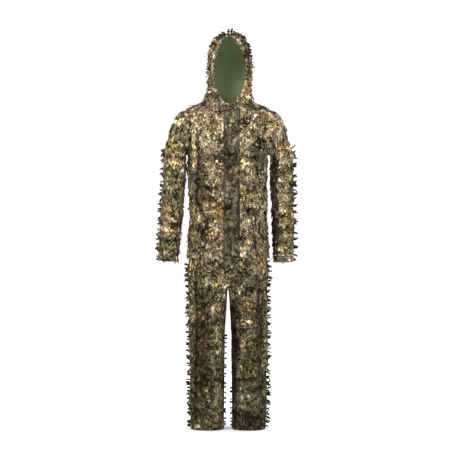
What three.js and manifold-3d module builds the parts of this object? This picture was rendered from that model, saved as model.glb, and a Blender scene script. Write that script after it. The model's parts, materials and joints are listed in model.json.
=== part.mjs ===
// A leafy camouflage suit as it is worn: a hooded zip jacket over trousers.
// Millimetres, +Z up. The front faces -Y and the wearer's left is +X.
// Heights are counted from the trouser hems; the whole group is then lowered so that
// the origin is the middle of the trousers' waist, where the wearer holds the suit.
import * as THREE from "three";
import { mergeVertices } from "three/addons/utils/BufferGeometryUtils.js";
import Module from "manifold-3d";

const wasm = await Module();
wasm.setup();

// ---------------------------------------------------------------- cloth and seams
const GAP = 0.3; // clearance between two pieces that are sewn edge to edge
const SHELL = 5; // printed cloth with the leaves that lie flat on it
const LINING = 2;
const SLIVER = 0.05; // detail finer than this is smoothed away after a cut
const ELASTIC = 2;

// ---------------------------------------------------------------- trousers
const INSEAM = 600;
const RISE = 290; // crotch to the waistband's top edge
const LEG_GAP = 24; // between the two legs
const THIGH_WIDTH = 158;
const THIGH_DEPTH = 190;
const HEM_WIDTH = 146; // a trouser leg at its hem
const HEM_DEPTH = 172;
const HIP_WIDTH = 352;
const HIP_DEPTH = 208;
const WAIST_WIDTH = 300;
const WAIST_DEPTH = 176;
const TUCKED_DEPTH = 184;
const CROTCH_CURVE = 120; // height over which the centre seam turns under
const LEGS_PARTED = 14; // height over which the two legs part below the crotch
const WAISTBAND = 35;
const TROUSER_HEM = 32;
const KNEE_HEIGHT = 330;
const KNEE_FOLD = 200; // cloth that creases as the knee bends
const THIGH_FOLD = 110;

// ---------------------------------------------------------------- jacket
const TUCK = 140; // how far the jacket's hem hangs below the waistband's top edge
const SIDE_LENGTH = 650; // jacket hem to the shoulder's outer end
const JACKET_HEM_WIDTH = 356;
const JACKET_WAIST_WIDTH = 332;
const CHEST_WIDTH = 350;
const SHOULDER_WIDTH = 364;
const JACKET_HEM_BACK = 125; // depth behind the suit's middle plane
const JACKET_WAIST_BACK = 114;
const CHEST_BACK = 122;
const SHOULDER_BACK = 100;
const FRONT_AT_HEM = 132; // depth before the middle plane, along the straight zip
const ZIP_LEAN = 0.035; // how much the zip leans back per millimetre of height
const JACKET_HEM_BAND = 34;
const SHOULDER_RISE = 43; // shoulder's outer end up to the side of the neck
const NECK_WIDTH = 208;
const NECK_BACK = 88;
const NECK_DIP = 0.3; // the neckline falls towards the front by this much per millimetre

// ---------------------------------------------------------------- sleeves
const ARMHOLE_HEIGHT = 203;
const ARMHOLE_DEPTH = 124;
const SLEEVE_WIDTH = 98;
const CUFF_WIDTH = 84;
const CUFF_DEPTH = 98;
const UNDERARM_LENGTH = 468;
const ARMPIT_RADIUS = 4;
const SHOULDER_ROUND = 31; // degrees over which the sleeve head falls to the sleeve's own width
const LEAN_LEFT = 1; // degrees that each sleeve hangs away from the body
const LEAN_RIGHT = 4.5;
const SLEEVE_HEAD = 75; // cloth below the armpit that creases as the arm is raised
const ELBOW_FOLD = 140;
const ELBOW_DOWN = 207; // armpit to the elbow
const CUFF_BAND = 28;

// ---------------------------------------------------------------- hood
const COLLAR_HEIGHT = 57;
const HOOD_HEIGHT = 292; // neckline to crown
const HOOD_WIDTH = 196;
const HOOD_FRONT = 110;
const HOOD_BACK = 142;
const FACE_WIDTH = 134;
const FACE_HEIGHT = 284;
const FACE_FROM_CROWN = 24; // crown to the top of the face opening
const RIM_WIDTH = 12;
const RIM_THICK = 9;
const RIM_PLAY = 0.7;

// ---------------------------------------------------------------- zip
const ZIP_BELOW_NECK = 10; // the zip's top end below the front of the neckline
const TEETH_WIDTH = 2.4;
const TEETH_THICK = 3;
const TEETH_GAP = 1.6; // between the two rows, for the slider's web
const TAPE_WIDTH = 14;
const TAPE_THICK = 0.8;
const ZIP_BEHIND = 1.6; // the tapes' play behind the curved front panels
const ZIP_OPENING = 6.5; // from the zip's middle to each front panel's edge
const SLIDER_LENGTH = 13;
const SLIDER_WIDTH = 10.4;
const SLIDER_PLATE = 1.2;
const SLIDER_PLAY = 0.4;
const RETAINER_HEIGHT = 11;
const BRIDGE_LENGTH = 8;
const BRIDGE_RISE = 3.4;
const BRIDGE_THICK = 1.2;
const PULL_LENGTH = 30;
const PULL_WIDTH = 8;
const PULL_THICK = 1.4;

// ---------------------------------------------------------------- storm flap
const FLAP_FREE = 20; // the flap's free edge, to the right of the zip
const FLAP_SEWN = 52; // its sewn edge, to the left of the zip
const FLAP_THICK = 2.5;
const FLAP_BULGE = 7; // how far it stands off the zip
const FLAP_STRAIGHT = 152; // half width of the jacket below which the flap leaves its curve
const FLAP_LIFT = 27; // how far it leaves it, per share of that half width

// ---------------------------------------------------------------- leaves and loop
const LEAF_REACH = 15; // how far a leaf's tip stands out from the cloth
const LEAF_ROOT = 4;
const LEAF_PITCH = 30;
const LEAF_THICK = 1.2;
const LOOP_WIDTH = 56;
const LOOP_DROP = 20;
const LOOP_RIBBON = 6;
const LOOP_THICK = 1.5;
const LOOP_SEAT = 0.7; // how much roomier the neck is at the loop's height

// ---------------------------------------------------------------- heights
const WAIST_Z = INSEAM + RISE;
const JACKET_Z = WAIST_Z - TUCK;
const SHOULDER_Z = JACKET_Z + SIDE_LENGTH;
const ARMPIT_Z = SHOULDER_Z - ARMHOLE_HEIGHT;
const NECK_Z = SHOULDER_Z + SHOULDER_RISE;
const CROWN_Z = NECK_Z + HOOD_HEIGHT;
const FACE_Z = CROWN_Z - FACE_FROM_CROWN - FACE_HEIGHT / 2;

const TALL = 2000; // beyond the suit on every side
const FULL_TURN = 2 * Math.PI;
const QUARTER = Math.PI / 2;
const RIGHT = -1;
const LEFT = 1;
const ACROSS = new THREE.Vector3(1, 0, 0);
const FORWARD = new THREE.Vector3(0, -1, 0);
const UP = new THREE.Vector3(0, 0, 1);

const suit = new THREE.Group();
suit.position.z = -WAIST_Z;

// ================================================================ colours
function cloth(colour, roughness = 0.9) {
  return new THREE.MeshStandardMaterial({ color: colour, roughness, metalness: 0 });
}
const printedCloth = cloth(0x6f6448);
const leafCloth = cloth(0x4e4a2e);
const greenLining = cloth(0x4b5a3c);
const elasticBand = cloth(0x3a3a30);
const zipPlastic = cloth(0x33312a, 0.5);
const zipMetal = new THREE.MeshStandardMaterial({
  color: 0x5a564c,
  roughness: 0.35,
  metalness: 0.9,
});

function addPiece(name, geometry, material, parent = suit) {
  const mesh = new THREE.Mesh(geometry, material);
  mesh.name = name;
  parent.add(mesh);
  return mesh;
}

// ================================================================ solids
// Volume of a closed triangle mesh, negative when its faces point inwards.
function signedVolume(positions, index) {
  const [a, b, c] = [new THREE.Vector3(), new THREE.Vector3(), new THREE.Vector3()];
  let total = 0;
  for (let i = 0; i < index.length; i += 3) {
    a.fromArray(positions, 3 * index[i]);
    b.fromArray(positions, 3 * index[i + 1]);
    c.fromArray(positions, 3 * index[i + 2]);
    total += a.dot(b.cross(c)) / 6;
  }
  return total;
}

function closedGeometry(points, index) {
  const positions = points.flatMap((p) => [p.x, p.y, p.z]);
  if (signedVolume(positions, index) < 0) {
    for (let i = 0; i < index.length; i += 3) {
      [index[i + 1], index[i + 2]] = [index[i + 2], index[i + 1]];
    }
  }
  return new THREE.BufferGeometry()
    .setAttribute("position", new THREE.Float32BufferAttribute(positions, 3))
    .setIndex(index);
}

function toSolid(geometry) {
  const bare = geometry.clone();
  bare.deleteAttribute("normal");
  bare.deleteAttribute("uv");
  const merged = mergeVertices(bare, 1e-3);
  return new wasm.Manifold(
    new wasm.Mesh({
      numProp: 3,
      vertProperties: merged.attributes.position.array,
      triVerts: new Uint32Array(merged.index.array),
    }),
  );
}

function toGeometry(solid) {
  const mesh = solid.getMesh();
  return new THREE.BufferGeometry()
    .setAttribute("position", new THREE.BufferAttribute(mesh.vertProperties, 3))
    .setIndex(new THREE.BufferAttribute(mesh.triVerts, 1));
}

// The largest body of a solid, less its slivers.
function tidied(solid) {
  const bodies = solid.decompose().sort((a, b) => b.volume() - a.volume());
  return toGeometry(bodies[0].asOriginal().simplify(SLIVER));
}

function cut(geometry, ...cutters) {
  let solid = toSolid(geometry);
  for (const cutter of cutters) solid = solid.subtract(toSolid(cutter));
  return tidied(solid);
}

// The part of a geometry between x = low[0] and high[0], and between y = low[1] and high[1].
function between(geometry, low, high) {
  const size = [high[0] - low[0], high[1] - low[1]];
  const block = box(size[0], size[1], 2 * TALL, low[0] + size[0] / 2, low[1] + size[1] / 2, 0);
  return tidied(toSolid(geometry).intersect(toSolid(block)));
}

function box(width, depth, height, x, y, z) {
  return new THREE.BoxGeometry(width, depth, height).translate(x, y, z);
}

// Two neighbouring rows of a grid as triangles. Each row holds `count` points from its start.
function stitch(index, startA, startB, count, closed) {
  const last = closed ? count : count - 1;
  for (let j = 0; j < last; j += 1) {
    const k = (j + 1) % count;
    index.push(startA + j, startA + k, startB + k, startA + j, startB + k, startB + j);
  }
}

// The outward direction of the surface at each point of a grid of rows.
function gridNormals(grid, closed, middles) {
  return grid.map((row, i) =>
    row.map((point, j) => {
      const last = row.length - 1;
      const before = closed ? row[(j + last) % row.length] : row[Math.max(j - 1, 0)];
      const after = closed ? row[(j + 1) % row.length] : row[Math.min(j + 1, last)];
      const below = grid[Math.max(i - 1, 0)][j];
      const above = grid[Math.min(i + 1, grid.length - 1)][j];
      const normal = after.clone().sub(before).cross(above.clone().sub(below)).normalize();
      if (normal.dot(point.clone().sub(middles[i])) < 0) normal.negate();
      return normal;
    }),
  );
}

function flatten(vector, plane) {
  return vector.addScaledVector(plane, -vector.dot(plane)).normalize();
}

// The rings moved outwards by `distance`. The first and last rings stay in their own planes, and
// so do an open panel's side edges, whose planes `edges` gives.
function offsetRings(rings, distance, edges) {
  const last = rings.length - 1;
  const grid = rings.map((ring) => ring.points);
  const normals = gridNormals(grid, !edges, rings.map((ring) => ring.middle));
  return rings.map((ring, i) => {
    const points = ring.points.map((point, j) => {
      const normal = normals[i][j];
      if (edges && j === 0) flatten(normal, edges[0]);
      if (edges && j === ring.points.length - 1) flatten(normal, edges[1]);
      if (i === 0 || i === last) flatten(normal, ring.plane);
      return point.clone().addScaledVector(normal, distance);
    });
    return { ...ring, points };
  });
}

// A wall of the given thickness inside the rings: a tube, or a panel if it has side edges.
function wall(rings, thickness, edges = null) {
  const closed = !edges;
  const inside = offsetRings(rings, -thickness, edges);
  const count = rings[0].points.length;
  const rows = rings.length;
  const points = [...rings, ...inside].flatMap((ring) => ring.points);
  const inner = rows * count;
  const index = [];
  for (let i = 0; i + 1 < rows; i += 1) {
    stitch(index, i * count, (i + 1) * count, count, closed);
    stitch(index, inner + (i + 1) * count, inner + i * count, count, closed);
  }
  stitch(index, inner, 0, count, closed);
  stitch(index, (rows - 1) * count, inner + (rows - 1) * count, count, closed);
  if (!closed) {
    for (let i = 0; i + 1 < rows; i += 1) {
      for (const [j, turn] of [[0, 0], [count - 1, 1]]) {
        const [a, b] = [i * count + j, (i + 1) * count + j];
        const face = [a, b, inner + b, a, inner + b, inner + a];
        index.push(...(turn ? face.reverse() : face));
      }
    }
  }
  return closedGeometry(points, index);
}

// A solid filled between rings, with both ends closed by a fan. `distance` grows it outwards.
function filled(rings, distance = 0) {
  const grown = distance ? offsetRings(rings, distance) : rings;
  const count = rings[0].points.length;
  const points = grown.flatMap((ring) => ring.points);
  points.push(rings[0].middle, rings[rings.length - 1].middle);
  const index = [];
  for (let i = 0; i + 1 < grown.length; i += 1) {
    stitch(index, i * count, (i + 1) * count, count, true);
  }
  const lastRow = (grown.length - 1) * count;
  for (let j = 0; j < count; j += 1) {
    const k = (j + 1) % count;
    index.push(points.length - 2, k, j);
    index.push(points.length - 1, lastRow + j, lastRow + k);
  }
  return closedGeometry(points, index);
}

// A ring moved out of its own plane.
function shifted(ring, by) {
  const move = ring.plane.clone().multiplyScalar(by);
  const points = ring.points.map((point) => point.clone().add(move));
  return { ...ring, points, middle: ring.middle.clone().add(move) };
}

// A tube of the given thickness round many rings, cut from a solid.
function hollowed(rings, thickness, ...cutters) {
  const last = rings.length - 1;
  const core = [shifted(rings[0], -10), ...rings.slice(1, last), shifted(rings[last], 10)];
  return cut(filled(rings), filled(core, -thickness), ...cutters);
}

// A bar swept through sections that each hold the same number of points.
function bar(sections) {
  const count = sections[0].length;
  const points = sections.flat();
  const index = [];
  for (let i = 0; i + 1 < sections.length; i += 1) {
    stitch(index, i * count, (i + 1) * count, count, true);
  }
  const lastRow = (sections.length - 1) * count;
  for (let j = 1; j + 1 < count; j += 1) {
    index.push(0, j + 1, j);
    index.push(lastRow, lastRow + j, lastRow + j + 1);
  }
  return closedGeometry(points, index);
}

// ================================================================ shapes of the body
function power(value, exponent) {
  return Math.sign(value) * Math.abs(value) ** exponent;
}

// A value read from a list of [place, value] pairs, straight between them.
function along(pairs, place) {
  const next = pairs.findIndex(([at]) => at >= place);
  if (next === 0) return pairs[0][1];
  if (next < 0) return pairs[pairs.length - 1][1];
  const [[from, low], [to, high]] = [pairs[next - 1], pairs[next]];
  return low + ((high - low) * (place - from)) / (to - from);
}

function spread(from, to, steps) {
  return Array.from({ length: steps + 1 }, (_, i) => from + ((to - from) * i) / steps);
}

// Heights of rows from `from` to `to` that also pass through every station between them.
function levels(from, to, stations) {
  const inside = stations.filter((z) => z > from + 1 && z < to - 1);
  return [from, ...inside.sort((a, b) => a - b), to];
}

// ---------------------------------------------------------------- trunk of the jacket
const trunkWidth = [
  [JACKET_Z, JACKET_HEM_WIDTH / 2],
  [JACKET_Z + 0.3 * SIDE_LENGTH, JACKET_WAIST_WIDTH / 2],
  [ARMPIT_Z, CHEST_WIDTH / 2],
  [SHOULDER_Z - 40, SHOULDER_WIDTH / 2],
  [SHOULDER_Z, SHOULDER_WIDTH / 2],
  [SHOULDER_Z + 0.4 * SHOULDER_RISE, 0.43 * SHOULDER_WIDTH / 2 + 0.57 * NECK_WIDTH / 2 + 15],
  [SHOULDER_Z + 0.7 * SHOULDER_RISE, 0.15 * SHOULDER_WIDTH / 2 + 0.85 * NECK_WIDTH / 2 + 6],
  [NECK_Z, NECK_WIDTH / 2],
];
const trunkBack = [
  [JACKET_Z, JACKET_HEM_BACK],
  [JACKET_Z + 0.3 * SIDE_LENGTH, JACKET_WAIST_BACK],
  [ARMPIT_Z, CHEST_BACK],
  [SHOULDER_Z - 40, SHOULDER_BACK + 10],
  [SHOULDER_Z, SHOULDER_BACK],
  [NECK_Z, NECK_BACK],
];
const trunkDip = [
  [ARMPIT_Z, 0],
  [SHOULDER_Z, 0.55 * NECK_DIP],
  [NECK_Z, NECK_DIP],
];
const trunkStations = trunkWidth.map(([z]) => z);

// Depth of the jacket's front at a ring, so that the front edge lies on the straight zip line.
function frontDepth(z, dip) {
  return (FRONT_AT_HEM - ZIP_LEAN * (z - JACKET_Z)) / (1 - ZIP_LEAN * dip);
}

// How square a section is: 2 is an ellipse.
function trunkRoundness(z) {
  return along([[JACKET_Z, 2.4], [ARMPIT_Z, 2.4], [NECK_Z, 2.1]], z);
}

// A level section round the suit's middle. Angle 0 is the front and a quarter turn the left side.
function section(z, width, front, back, dip, roundness) {
  return (angle) => {
    const across = width * power(Math.sin(angle), 2 / roundness);
    const cosine = power(Math.cos(angle), 2 / roundness);
    const depth = -cosine * (cosine > 0 ? front : back);
    return new THREE.Vector3(across, depth, z + dip * depth);
  };
}

function dippedPlane(dip) {
  return new THREE.Vector3(0, -dip, 1).normalize();
}

function trunkRing(z, angles) {
  const dip = along(trunkDip, z);
  const width = along(trunkWidth, z);
  const roundness = trunkRoundness(z);
  const at = section(z, width, frontDepth(z, dip), along(trunkBack, z), dip, roundness);
  // The angle at which a section is `x` to the left of the middle.
  const angleAt = (x) => Math.asin((x / width) ** (roundness / 2));
  const list = typeof angles === "function" ? angles(angleAt, width) : angles;
  return { points: list.map(at), middle: new THREE.Vector3(0, 0, z), plane: dippedPlane(dip) };
}

const trunkSteps = 24;
const roundTheTrunk = spread(0, FULL_TURN, trunkSteps).slice(0, -1);

// ---------------------------------------------------------------- sleeves
function leanOf(side) {
  return THREE.MathUtils.degToRad(side === LEFT ? LEAN_LEFT : LEAN_RIGHT);
}

const armholeX = SHOULDER_WIDTH / 2;
const sleeveSteps = 14;
const roundTheSleeve = spread(0, FULL_TURN, sleeveSteps).slice(0, -1);

// How far the sleeve's outer side is from the armpit, `turn` radians round from straight up.
function headReach(turn) {
  const falling = Math.exp(-((THREE.MathUtils.radToDeg(turn) / SHOULDER_ROUND) ** 2));
  const straight = ARMPIT_RADIUS + SLEEVE_WIDTH;
  return straight + (ARMHOLE_HEIGHT - straight) * falling;
}

// An oval section that stands on a line `outwards` from the armpit.
function ovalRing(middle, outwards, halfWidth, halfDepth, plane) {
  const points = roundTheSleeve.map((angle) =>
    middle
      .clone()
      .addScaledVector(outwards, halfWidth * Math.sin(angle))
      .addScaledVector(FORWARD, halfDepth * Math.cos(angle)),
  );
  return { points, middle, plane };
}

function headRing(side, turn) {
  const armpit = new THREE.Vector3(side * armholeX, 0, ARMPIT_Z);
  const outwards = new THREE.Vector3(side * Math.sin(turn), 0, Math.cos(turn));
  const plane = new THREE.Vector3(side * Math.cos(turn), 0, -Math.sin(turn));
  const reach = headReach(turn);
  const middle = armpit.addScaledVector(outwards, (reach + ARMPIT_RADIUS) / 2);
  return ovalRing(middle, outwards, (reach - ARMPIT_RADIUS) / 2, ARMHOLE_DEPTH / 2, plane);
}

// A ring of the straight sleeve, `down` below the armpit.
function sleeveRing(side, down, shrink = 0) {
  const turn = QUARTER - leanOf(side);
  const start = headRing(side, turn);
  const outwards = new THREE.Vector3(side * Math.sin(turn), 0, Math.cos(turn));
  const share = down / UNDERARM_LENGTH;
  const halfWidth = THREE.MathUtils.lerp(SLEEVE_WIDTH, CUFF_WIDTH, share) / 2 - shrink;
  const halfDepth = THREE.MathUtils.lerp(ARMHOLE_DEPTH, CUFF_DEPTH, share) / 2 - shrink;
  const middle = start.middle.clone().addScaledVector(start.plane, down);
  return ovalRing(middle, outwards, halfWidth, halfDepth, start.plane);
}

// ---------------------------------------------------------------- trousers
const legMiddle = (LEG_GAP + THIGH_WIDTH) / 2;
const ELASTIC_INSET = 5; // from a channel's edge to its elastic
// The jacket's hem elastic bears on the trousers at the hips.
const elasticFoot = JACKET_Z + ELASTIC_INSET;
const tuckedHalf = along(trunkWidth, elasticFoot) - SHELL - ELASTIC - 2 * GAP - 0.1;
const seatStations = [
  [INSEAM, LEG_GAP / 2 + THIGH_WIDTH, THIGH_DEPTH / 2],
  [INSEAM + 0.75 * CROTCH_CURVE, HIP_WIDTH / 2, HIP_DEPTH / 2],
  [JACKET_Z - 30, HIP_WIDTH / 4 + tuckedHalf / 2 + 1, (HIP_DEPTH + TUCKED_DEPTH) / 4 + 1],
  [elasticFoot, tuckedHalf, TUCKED_DEPTH / 2],
  [WAIST_Z - WAISTBAND, WAIST_WIDTH / 2 + 4, WAIST_DEPTH / 2 + 2],
  [WAIST_Z, WAIST_WIDTH / 2, WAIST_DEPTH / 2],
];
const LEG_ROUNDNESS = 2.3;

// One half of the trousers above the crotch, `thinner` inside its cloth. Angle 0 is the middle
// of the thigh's front, a quarter turn is the side seam, and minus a quarter turn the centre
// seam, where the two halves reach a little past each other.
function seatPoint(side, z, angle, thinner = 0) {
  const width = along(seatStations.map(([at, half]) => [at, half]), z) - thinner;
  const depth = along(seatStations.map(([at, , half]) => [at, half]), z) - thinner;
  const above = (z - thinner - INSEAM) / CROTCH_CURVE;
  const share = 1 - THREE.MathUtils.clamp(above, 0, 1);
  const seam = Math.max(depth * Math.sqrt(1 - share * share), 1);
  const legsJoin = INSEAM + thinner + LEGS_PARTED;
  const gap = along([[INSEAM + thinner, LEG_GAP / 2 + thinner], [legsJoin, -1]], z);
  const roundness = along([[INSEAM, LEG_ROUNDNESS], [INSEAM + CROTCH_CURVE, 2]], z);
  const sine = power(Math.sin(angle), 2 / roundness);
  const cosine = power(Math.cos(angle), 2 / roundness);
  const inner = sine < 0;
  const x = legMiddle + sine * (inner ? legMiddle - gap : width - legMiddle);
  const back = angle > QUARTER;
  const reach = inner ? seam + (depth - seam) * Math.abs(cosine) : depth * Math.abs(cosine);
  return new THREE.Vector3(side * x, back ? reach : -reach, z);
}

function legRing(side, z, shrink = 0) {
  const share = 1 - z / INSEAM;
  const half = THREE.MathUtils.lerp(THIGH_WIDTH, HEM_WIDTH, share) / 2 - shrink;
  const depth = THREE.MathUtils.lerp(THIGH_DEPTH, HEM_DEPTH, share) / 2 - shrink;
  const middle = new THREE.Vector3(side * legMiddle, 0, z);
  const points = spread(0, FULL_TURN, 18)
    .slice(0, -1)
    .map((angle) => {
      const x = half * power(Math.sin(angle), 2 / LEG_ROUNDNESS);
      const y = -depth * power(Math.cos(angle), 2 / LEG_ROUNDNESS);
      return new THREE.Vector3(side * (legMiddle + x), y, z);
    });
  return { points, middle, plane: UP };
}

// ---------------------------------------------------------------- hood
// Fraction of the hood's height, then width, front and back as shares of the hood's own.
const hoodShape = [
  [0.14, 1.0, 0.97, 0.76],
  [0.3, 0.985, 1.0, 0.91],
  [0.58, 0.97, 1.0, 1.0],
  [0.77, 0.9, 0.98, 0.95],
  [0.88, 0.74, 0.9, 0.82],
  [0.955, 0.5, 0.74, 0.6],
  [1.0, 0.12, 0.2, 0.12],
];

function hoodRing(z) {
  const share = (z - NECK_Z) / HOOD_HEIGHT;
  const neckDip = NECK_DIP;
  const starts = [0, NECK_WIDTH / HOOD_WIDTH, frontDepth(NECK_Z, neckDip) / HOOD_FRONT];
  const shape = [[...starts, NECK_BACK / HOOD_BACK], ...hoodShape];
  const read = (column) => along(shape.map((row) => [row[0], row[column]]), share);
  const dip = along([[0, neckDip], [0.2, neckDip], [0.6, 0], [1, 0]], share);
  const [width, front, back] = [read(1) * HOOD_WIDTH / 2, read(2) * HOOD_FRONT, read(3) * HOOD_BACK];
  const at = section(z, width, front, back, dip, 2.1);
  return {
    points: roundTheTrunk.map(at),
    middle: new THREE.Vector3(0, (back - front) / 2, z + (dip * (back - front)) / 2),
    plane: dippedPlane(dip),
  };
}

const hoodHeights = hoodShape.map(([share]) => NECK_Z + share * HOOD_HEIGHT);
const collarTop = NECK_Z + COLLAR_HEIGHT;

// An oval prism that opens the hood for the face. `grow` widens it all round.
function faceCutter(grow) {
  const outline = new THREE.Shape();
  outline.absellipse(0, 0, FACE_WIDTH / 2 + grow, FACE_HEIGHT / 2 + grow, 0, FULL_TURN);
  const length = HOOD_FRONT * 2;
  return new THREE.ExtrudeGeometry(outline, {
    depth: length,
    bevelEnabled: false,
    curveSegments: 16,
  })
    .rotateX(QUARTER)
    .translate(0, -HOOD_FRONT * 0.1, FACE_Z);
}

// ================================================================ jacket pieces
const hemTop = JACKET_Z + JACKET_HEM_BAND;
const trunkLevels = levels(hemTop + GAP, NECK_Z - GAP, [
  ...trunkStations,
  JACKET_Z + 0.6 * SIDE_LENGTH,
  ARMPIT_Z + 60,
]);

// A prism through the armhole, as wide as the sleeve is inside.
function armholeCutter(side) {
  const head = headRing(side, 0);
  const halfHeight = (ARMHOLE_HEIGHT - ARMPIT_RADIUS) / 2 - SHELL;
  const rings = [-60, 40].map((shift) => {
    const middle = head.middle.clone().add(new THREE.Vector3(side * shift, 0, 0));
    return ovalRing(middle, UP, halfHeight, ARMHOLE_DEPTH / 2 - SHELL, new THREE.Vector3(1, 0, 0));
  });
  return filled(rings);
}

// The trunk is one shell, parted into three panels at the side seams and the zip.
const trunkRings = trunkLevels.map((z) => trunkRing(z, roundTheTrunk));
const trunk = hollowed(trunkRings, SHELL, armholeCutter(LEFT), armholeCutter(RIGHT));
const HALF_GAP = GAP / 2;
addPiece("jacket_back", between(trunk, [-TALL, HALF_GAP], [TALL, TALL]), printedCloth);
addPiece(
  "jacket_front_left",
  between(trunk, [ZIP_OPENING, -TALL], [TALL, -HALF_GAP]),
  printedCloth,
);
addPiece(
  "jacket_front_right",
  between(trunk, [-TALL, -TALL], [-ZIP_OPENING, -HALF_GAP]),
  printedCloth,
);

// The storm flap is sewn on to the left of the zip, and lies over it to its free edge.
function stormFlap() {
  const shares = spread(0, 1, 6);
  const across = (angleAt) =>
    shares.map((share) => {
      const x = THREE.MathUtils.lerp(-FLAP_FREE, FLAP_SEWN, share);
      return Math.sign(x) * angleAt(Math.abs(x));
    });
  const rings = levels(JACKET_Z, NECK_Z - GAP, trunkStations).map((z) => {
    const ring = trunkRing(z, across);
    // The sewn edge stays straight, so that the flap turns about it, and leaves the neck's curve.
    const tight = Math.max(0, FLAP_STRAIGHT - along(trunkWidth, z)) / FLAP_STRAIGHT;
    ring.points.forEach((point, i) => {
      const off = (point.x / FLAP_SEWN) ** 2 * tight * FLAP_LIFT;
      point.y -= GAP + FLAP_THICK + off + FLAP_BULGE * Math.sin(Math.PI * shares[i]);
    });
    return ring;
  });
  return wall(rings, FLAP_THICK, [ACROSS, ACROSS]);
}
addPiece("storm_flap", stormFlap(), printedCloth);

// The hem's channel runs from one side of the zip round to the other. The elastic inside it
// stops a step short at each end.
function hemAngles(angleAt) {
  const start = angleAt(ZIP_OPENING);
  return spread(start, FULL_TURN - start, trunkSteps);
}
const elasticAngles = (angleAt) => hemAngles(angleAt).slice(1, -1);
const hemRings = [JACKET_Z, hemTop].map((z) => trunkRing(z, hemAngles));
const zipEdges = [ACROSS, ACROSS];
addPiece("jacket_hem", wall(hemRings, SHELL, zipEdges), printedCloth);
const hemElastic = [JACKET_Z + ELASTIC_INSET, hemTop - ELASTIC_INSET].map((z) =>
  trunkRing(z, elasticAngles),
);
addPiece(
  "jacket_hem_elastic",
  wall(offsetRings(hemElastic, -SHELL - GAP, zipEdges), ELASTIC, zipEdges),
  elasticBand,
);

// ---------------------------------------------------------------- sleeves
const trunkForCutting = filled(trunkRings, GAP);
const elbowTop = ELBOW_DOWN - ELBOW_FOLD / 2;
const elbowBottom = ELBOW_DOWN + ELBOW_FOLD / 2;
const cuffTop = UNDERARM_LENGTH - CUFF_BAND;

// Teeth that stand out of a limb's outer side, as the leaf strip sewn down that side does.
function leafStrip(base, outwards, downwards, length) {
  const count = Math.max(1, Math.round(length / LEAF_PITCH));
  const pitch = length / count;
  const outline = new THREE.Shape();
  outline.moveTo(0, 0);
  outline.lineTo(LEAF_ROOT, 0);
  for (let i = 0; i < count; i += 1) {
    outline.lineTo(LEAF_REACH, (i + 0.55) * pitch);
    outline.lineTo(LEAF_ROOT, (i + 0.8) * pitch);
  }
  outline.lineTo(LEAF_ROOT, length);
  outline.lineTo(0, length);
  outline.closePath();
  const strip = new THREE.ExtrudeGeometry(outline, { depth: LEAF_THICK, bevelEnabled: false });
  strip.translate(0, 0, -LEAF_THICK / 2);
  const thickness = outwards.clone().cross(downwards);
  strip.applyMatrix4(new THREE.Matrix4().makeBasis(outwards, downwards, thickness));
  return strip.translate(base.x, base.y, base.z);
}

// A strip along the outer side between two rings of a limb.
function limbLeafStrip(upper, lower, side) {
  const outermost = (ring) =>
    ring.points.reduce((best, p) => (side * p.x > side * best.x ? p : best));
  const [top, bottom] = [outermost(upper), outermost(lower)];
  const downwards = bottom.clone().sub(top).normalize();
  const outwards = new THREE.Vector3(side, 0, 0);
  outwards.addScaledVector(downwards, -outwards.dot(downwards)).normalize();
  const base = top.clone().addScaledVector(outwards, GAP);
  return leafStrip(base, outwards, downwards, bottom.distanceTo(top));
}

for (const [side, label] of [[LEFT, "left"], [RIGHT, "right"]]) {
  const tube = (from, to) => [sleeveRing(side, from), sleeveRing(side, to)];
  const lastTurn = QUARTER - leanOf(side);
  const head = [
    shifted(headRing(side, 0), -30),
    ...spread(0, lastTurn, 6).map((turn) => headRing(side, turn)),
    sleeveRing(side, SLEEVE_HEAD),
  ];
  addPiece(`sleeve_head_${label}`, hollowed(head, SHELL, trunkForCutting), printedCloth);
  addPiece(
    `sleeve_upper_${label}`,
    wall(tube(SLEEVE_HEAD + GAP, elbowTop - GAP), SHELL),
    printedCloth,
  );
  addPiece(`sleeve_elbow_${label}`, wall(tube(elbowTop, elbowBottom), SHELL), printedCloth);
  addPiece(
    `sleeve_lower_${label}`,
    wall(tube(elbowBottom + GAP, cuffTop - GAP), SHELL),
    printedCloth,
  );
  addPiece(`cuff_${label}`, wall(tube(cuffTop, UNDERARM_LENGTH), SHELL), printedCloth);
  const inner = [cuffTop + ELASTIC_INSET, UNDERARM_LENGTH - ELASTIC_INSET].map((down) =>
    sleeveRing(side, down, SHELL + GAP),
  );
  addPiece(`cuff_elastic_${label}`, wall(inner, ELASTIC), elasticBand);
  addPiece(
    `sleeve_upper_leaves_${label}`,
    limbLeafStrip(...tube(SLEEVE_HEAD + GAP, elbowTop - GAP), side),
    leafCloth,
  );
  addPiece(
    `sleeve_lower_leaves_${label}`,
    limbLeafStrip(...tube(elbowBottom + GAP, cuffTop - GAP), side),
    leafCloth,
  );
}

// ---------------------------------------------------------------- hood
const hoodRings = (from, to) => levels(from, to, hoodHeights).map(hoodRing);
const rimCutter = faceCutter(RIM_WIDTH + RIM_PLAY);
const hollow = (depth) => filled(hoodRings(collarTop - 20, CROWN_Z), -depth);

// A slab with its top on the sloping plane of a hood ring, to trim what lies below it.
function belowRing(z) {
  const { plane } = hoodRing(z);
  const slab = box(2 * HOOD_WIDTH, 4 * HOOD_BACK, HOOD_HEIGHT, 0, 0, -HOOD_HEIGHT / 2);
  slab.rotateX(Math.atan2(-plane.y, plane.z));
  return slab.translate(0, 0, z);
}

const collarSlab = belowRing(collarTop);
addPiece("hood_shell", cut(hollow(0), hollow(SHELL), collarSlab, rimCutter), printedCloth);
const liningOut = hollow(SHELL + GAP);
const liningIn = hollow(SHELL + GAP + LINING);
addPiece("hood_lining", cut(liningOut, liningIn, collarSlab, rimCutter), greenLining);
addPiece(
  "hood_collar",
  cut(wall(hoodRings(NECK_Z, collarTop - GAP), SHELL), rimCutter),
  printedCloth,
);

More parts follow.
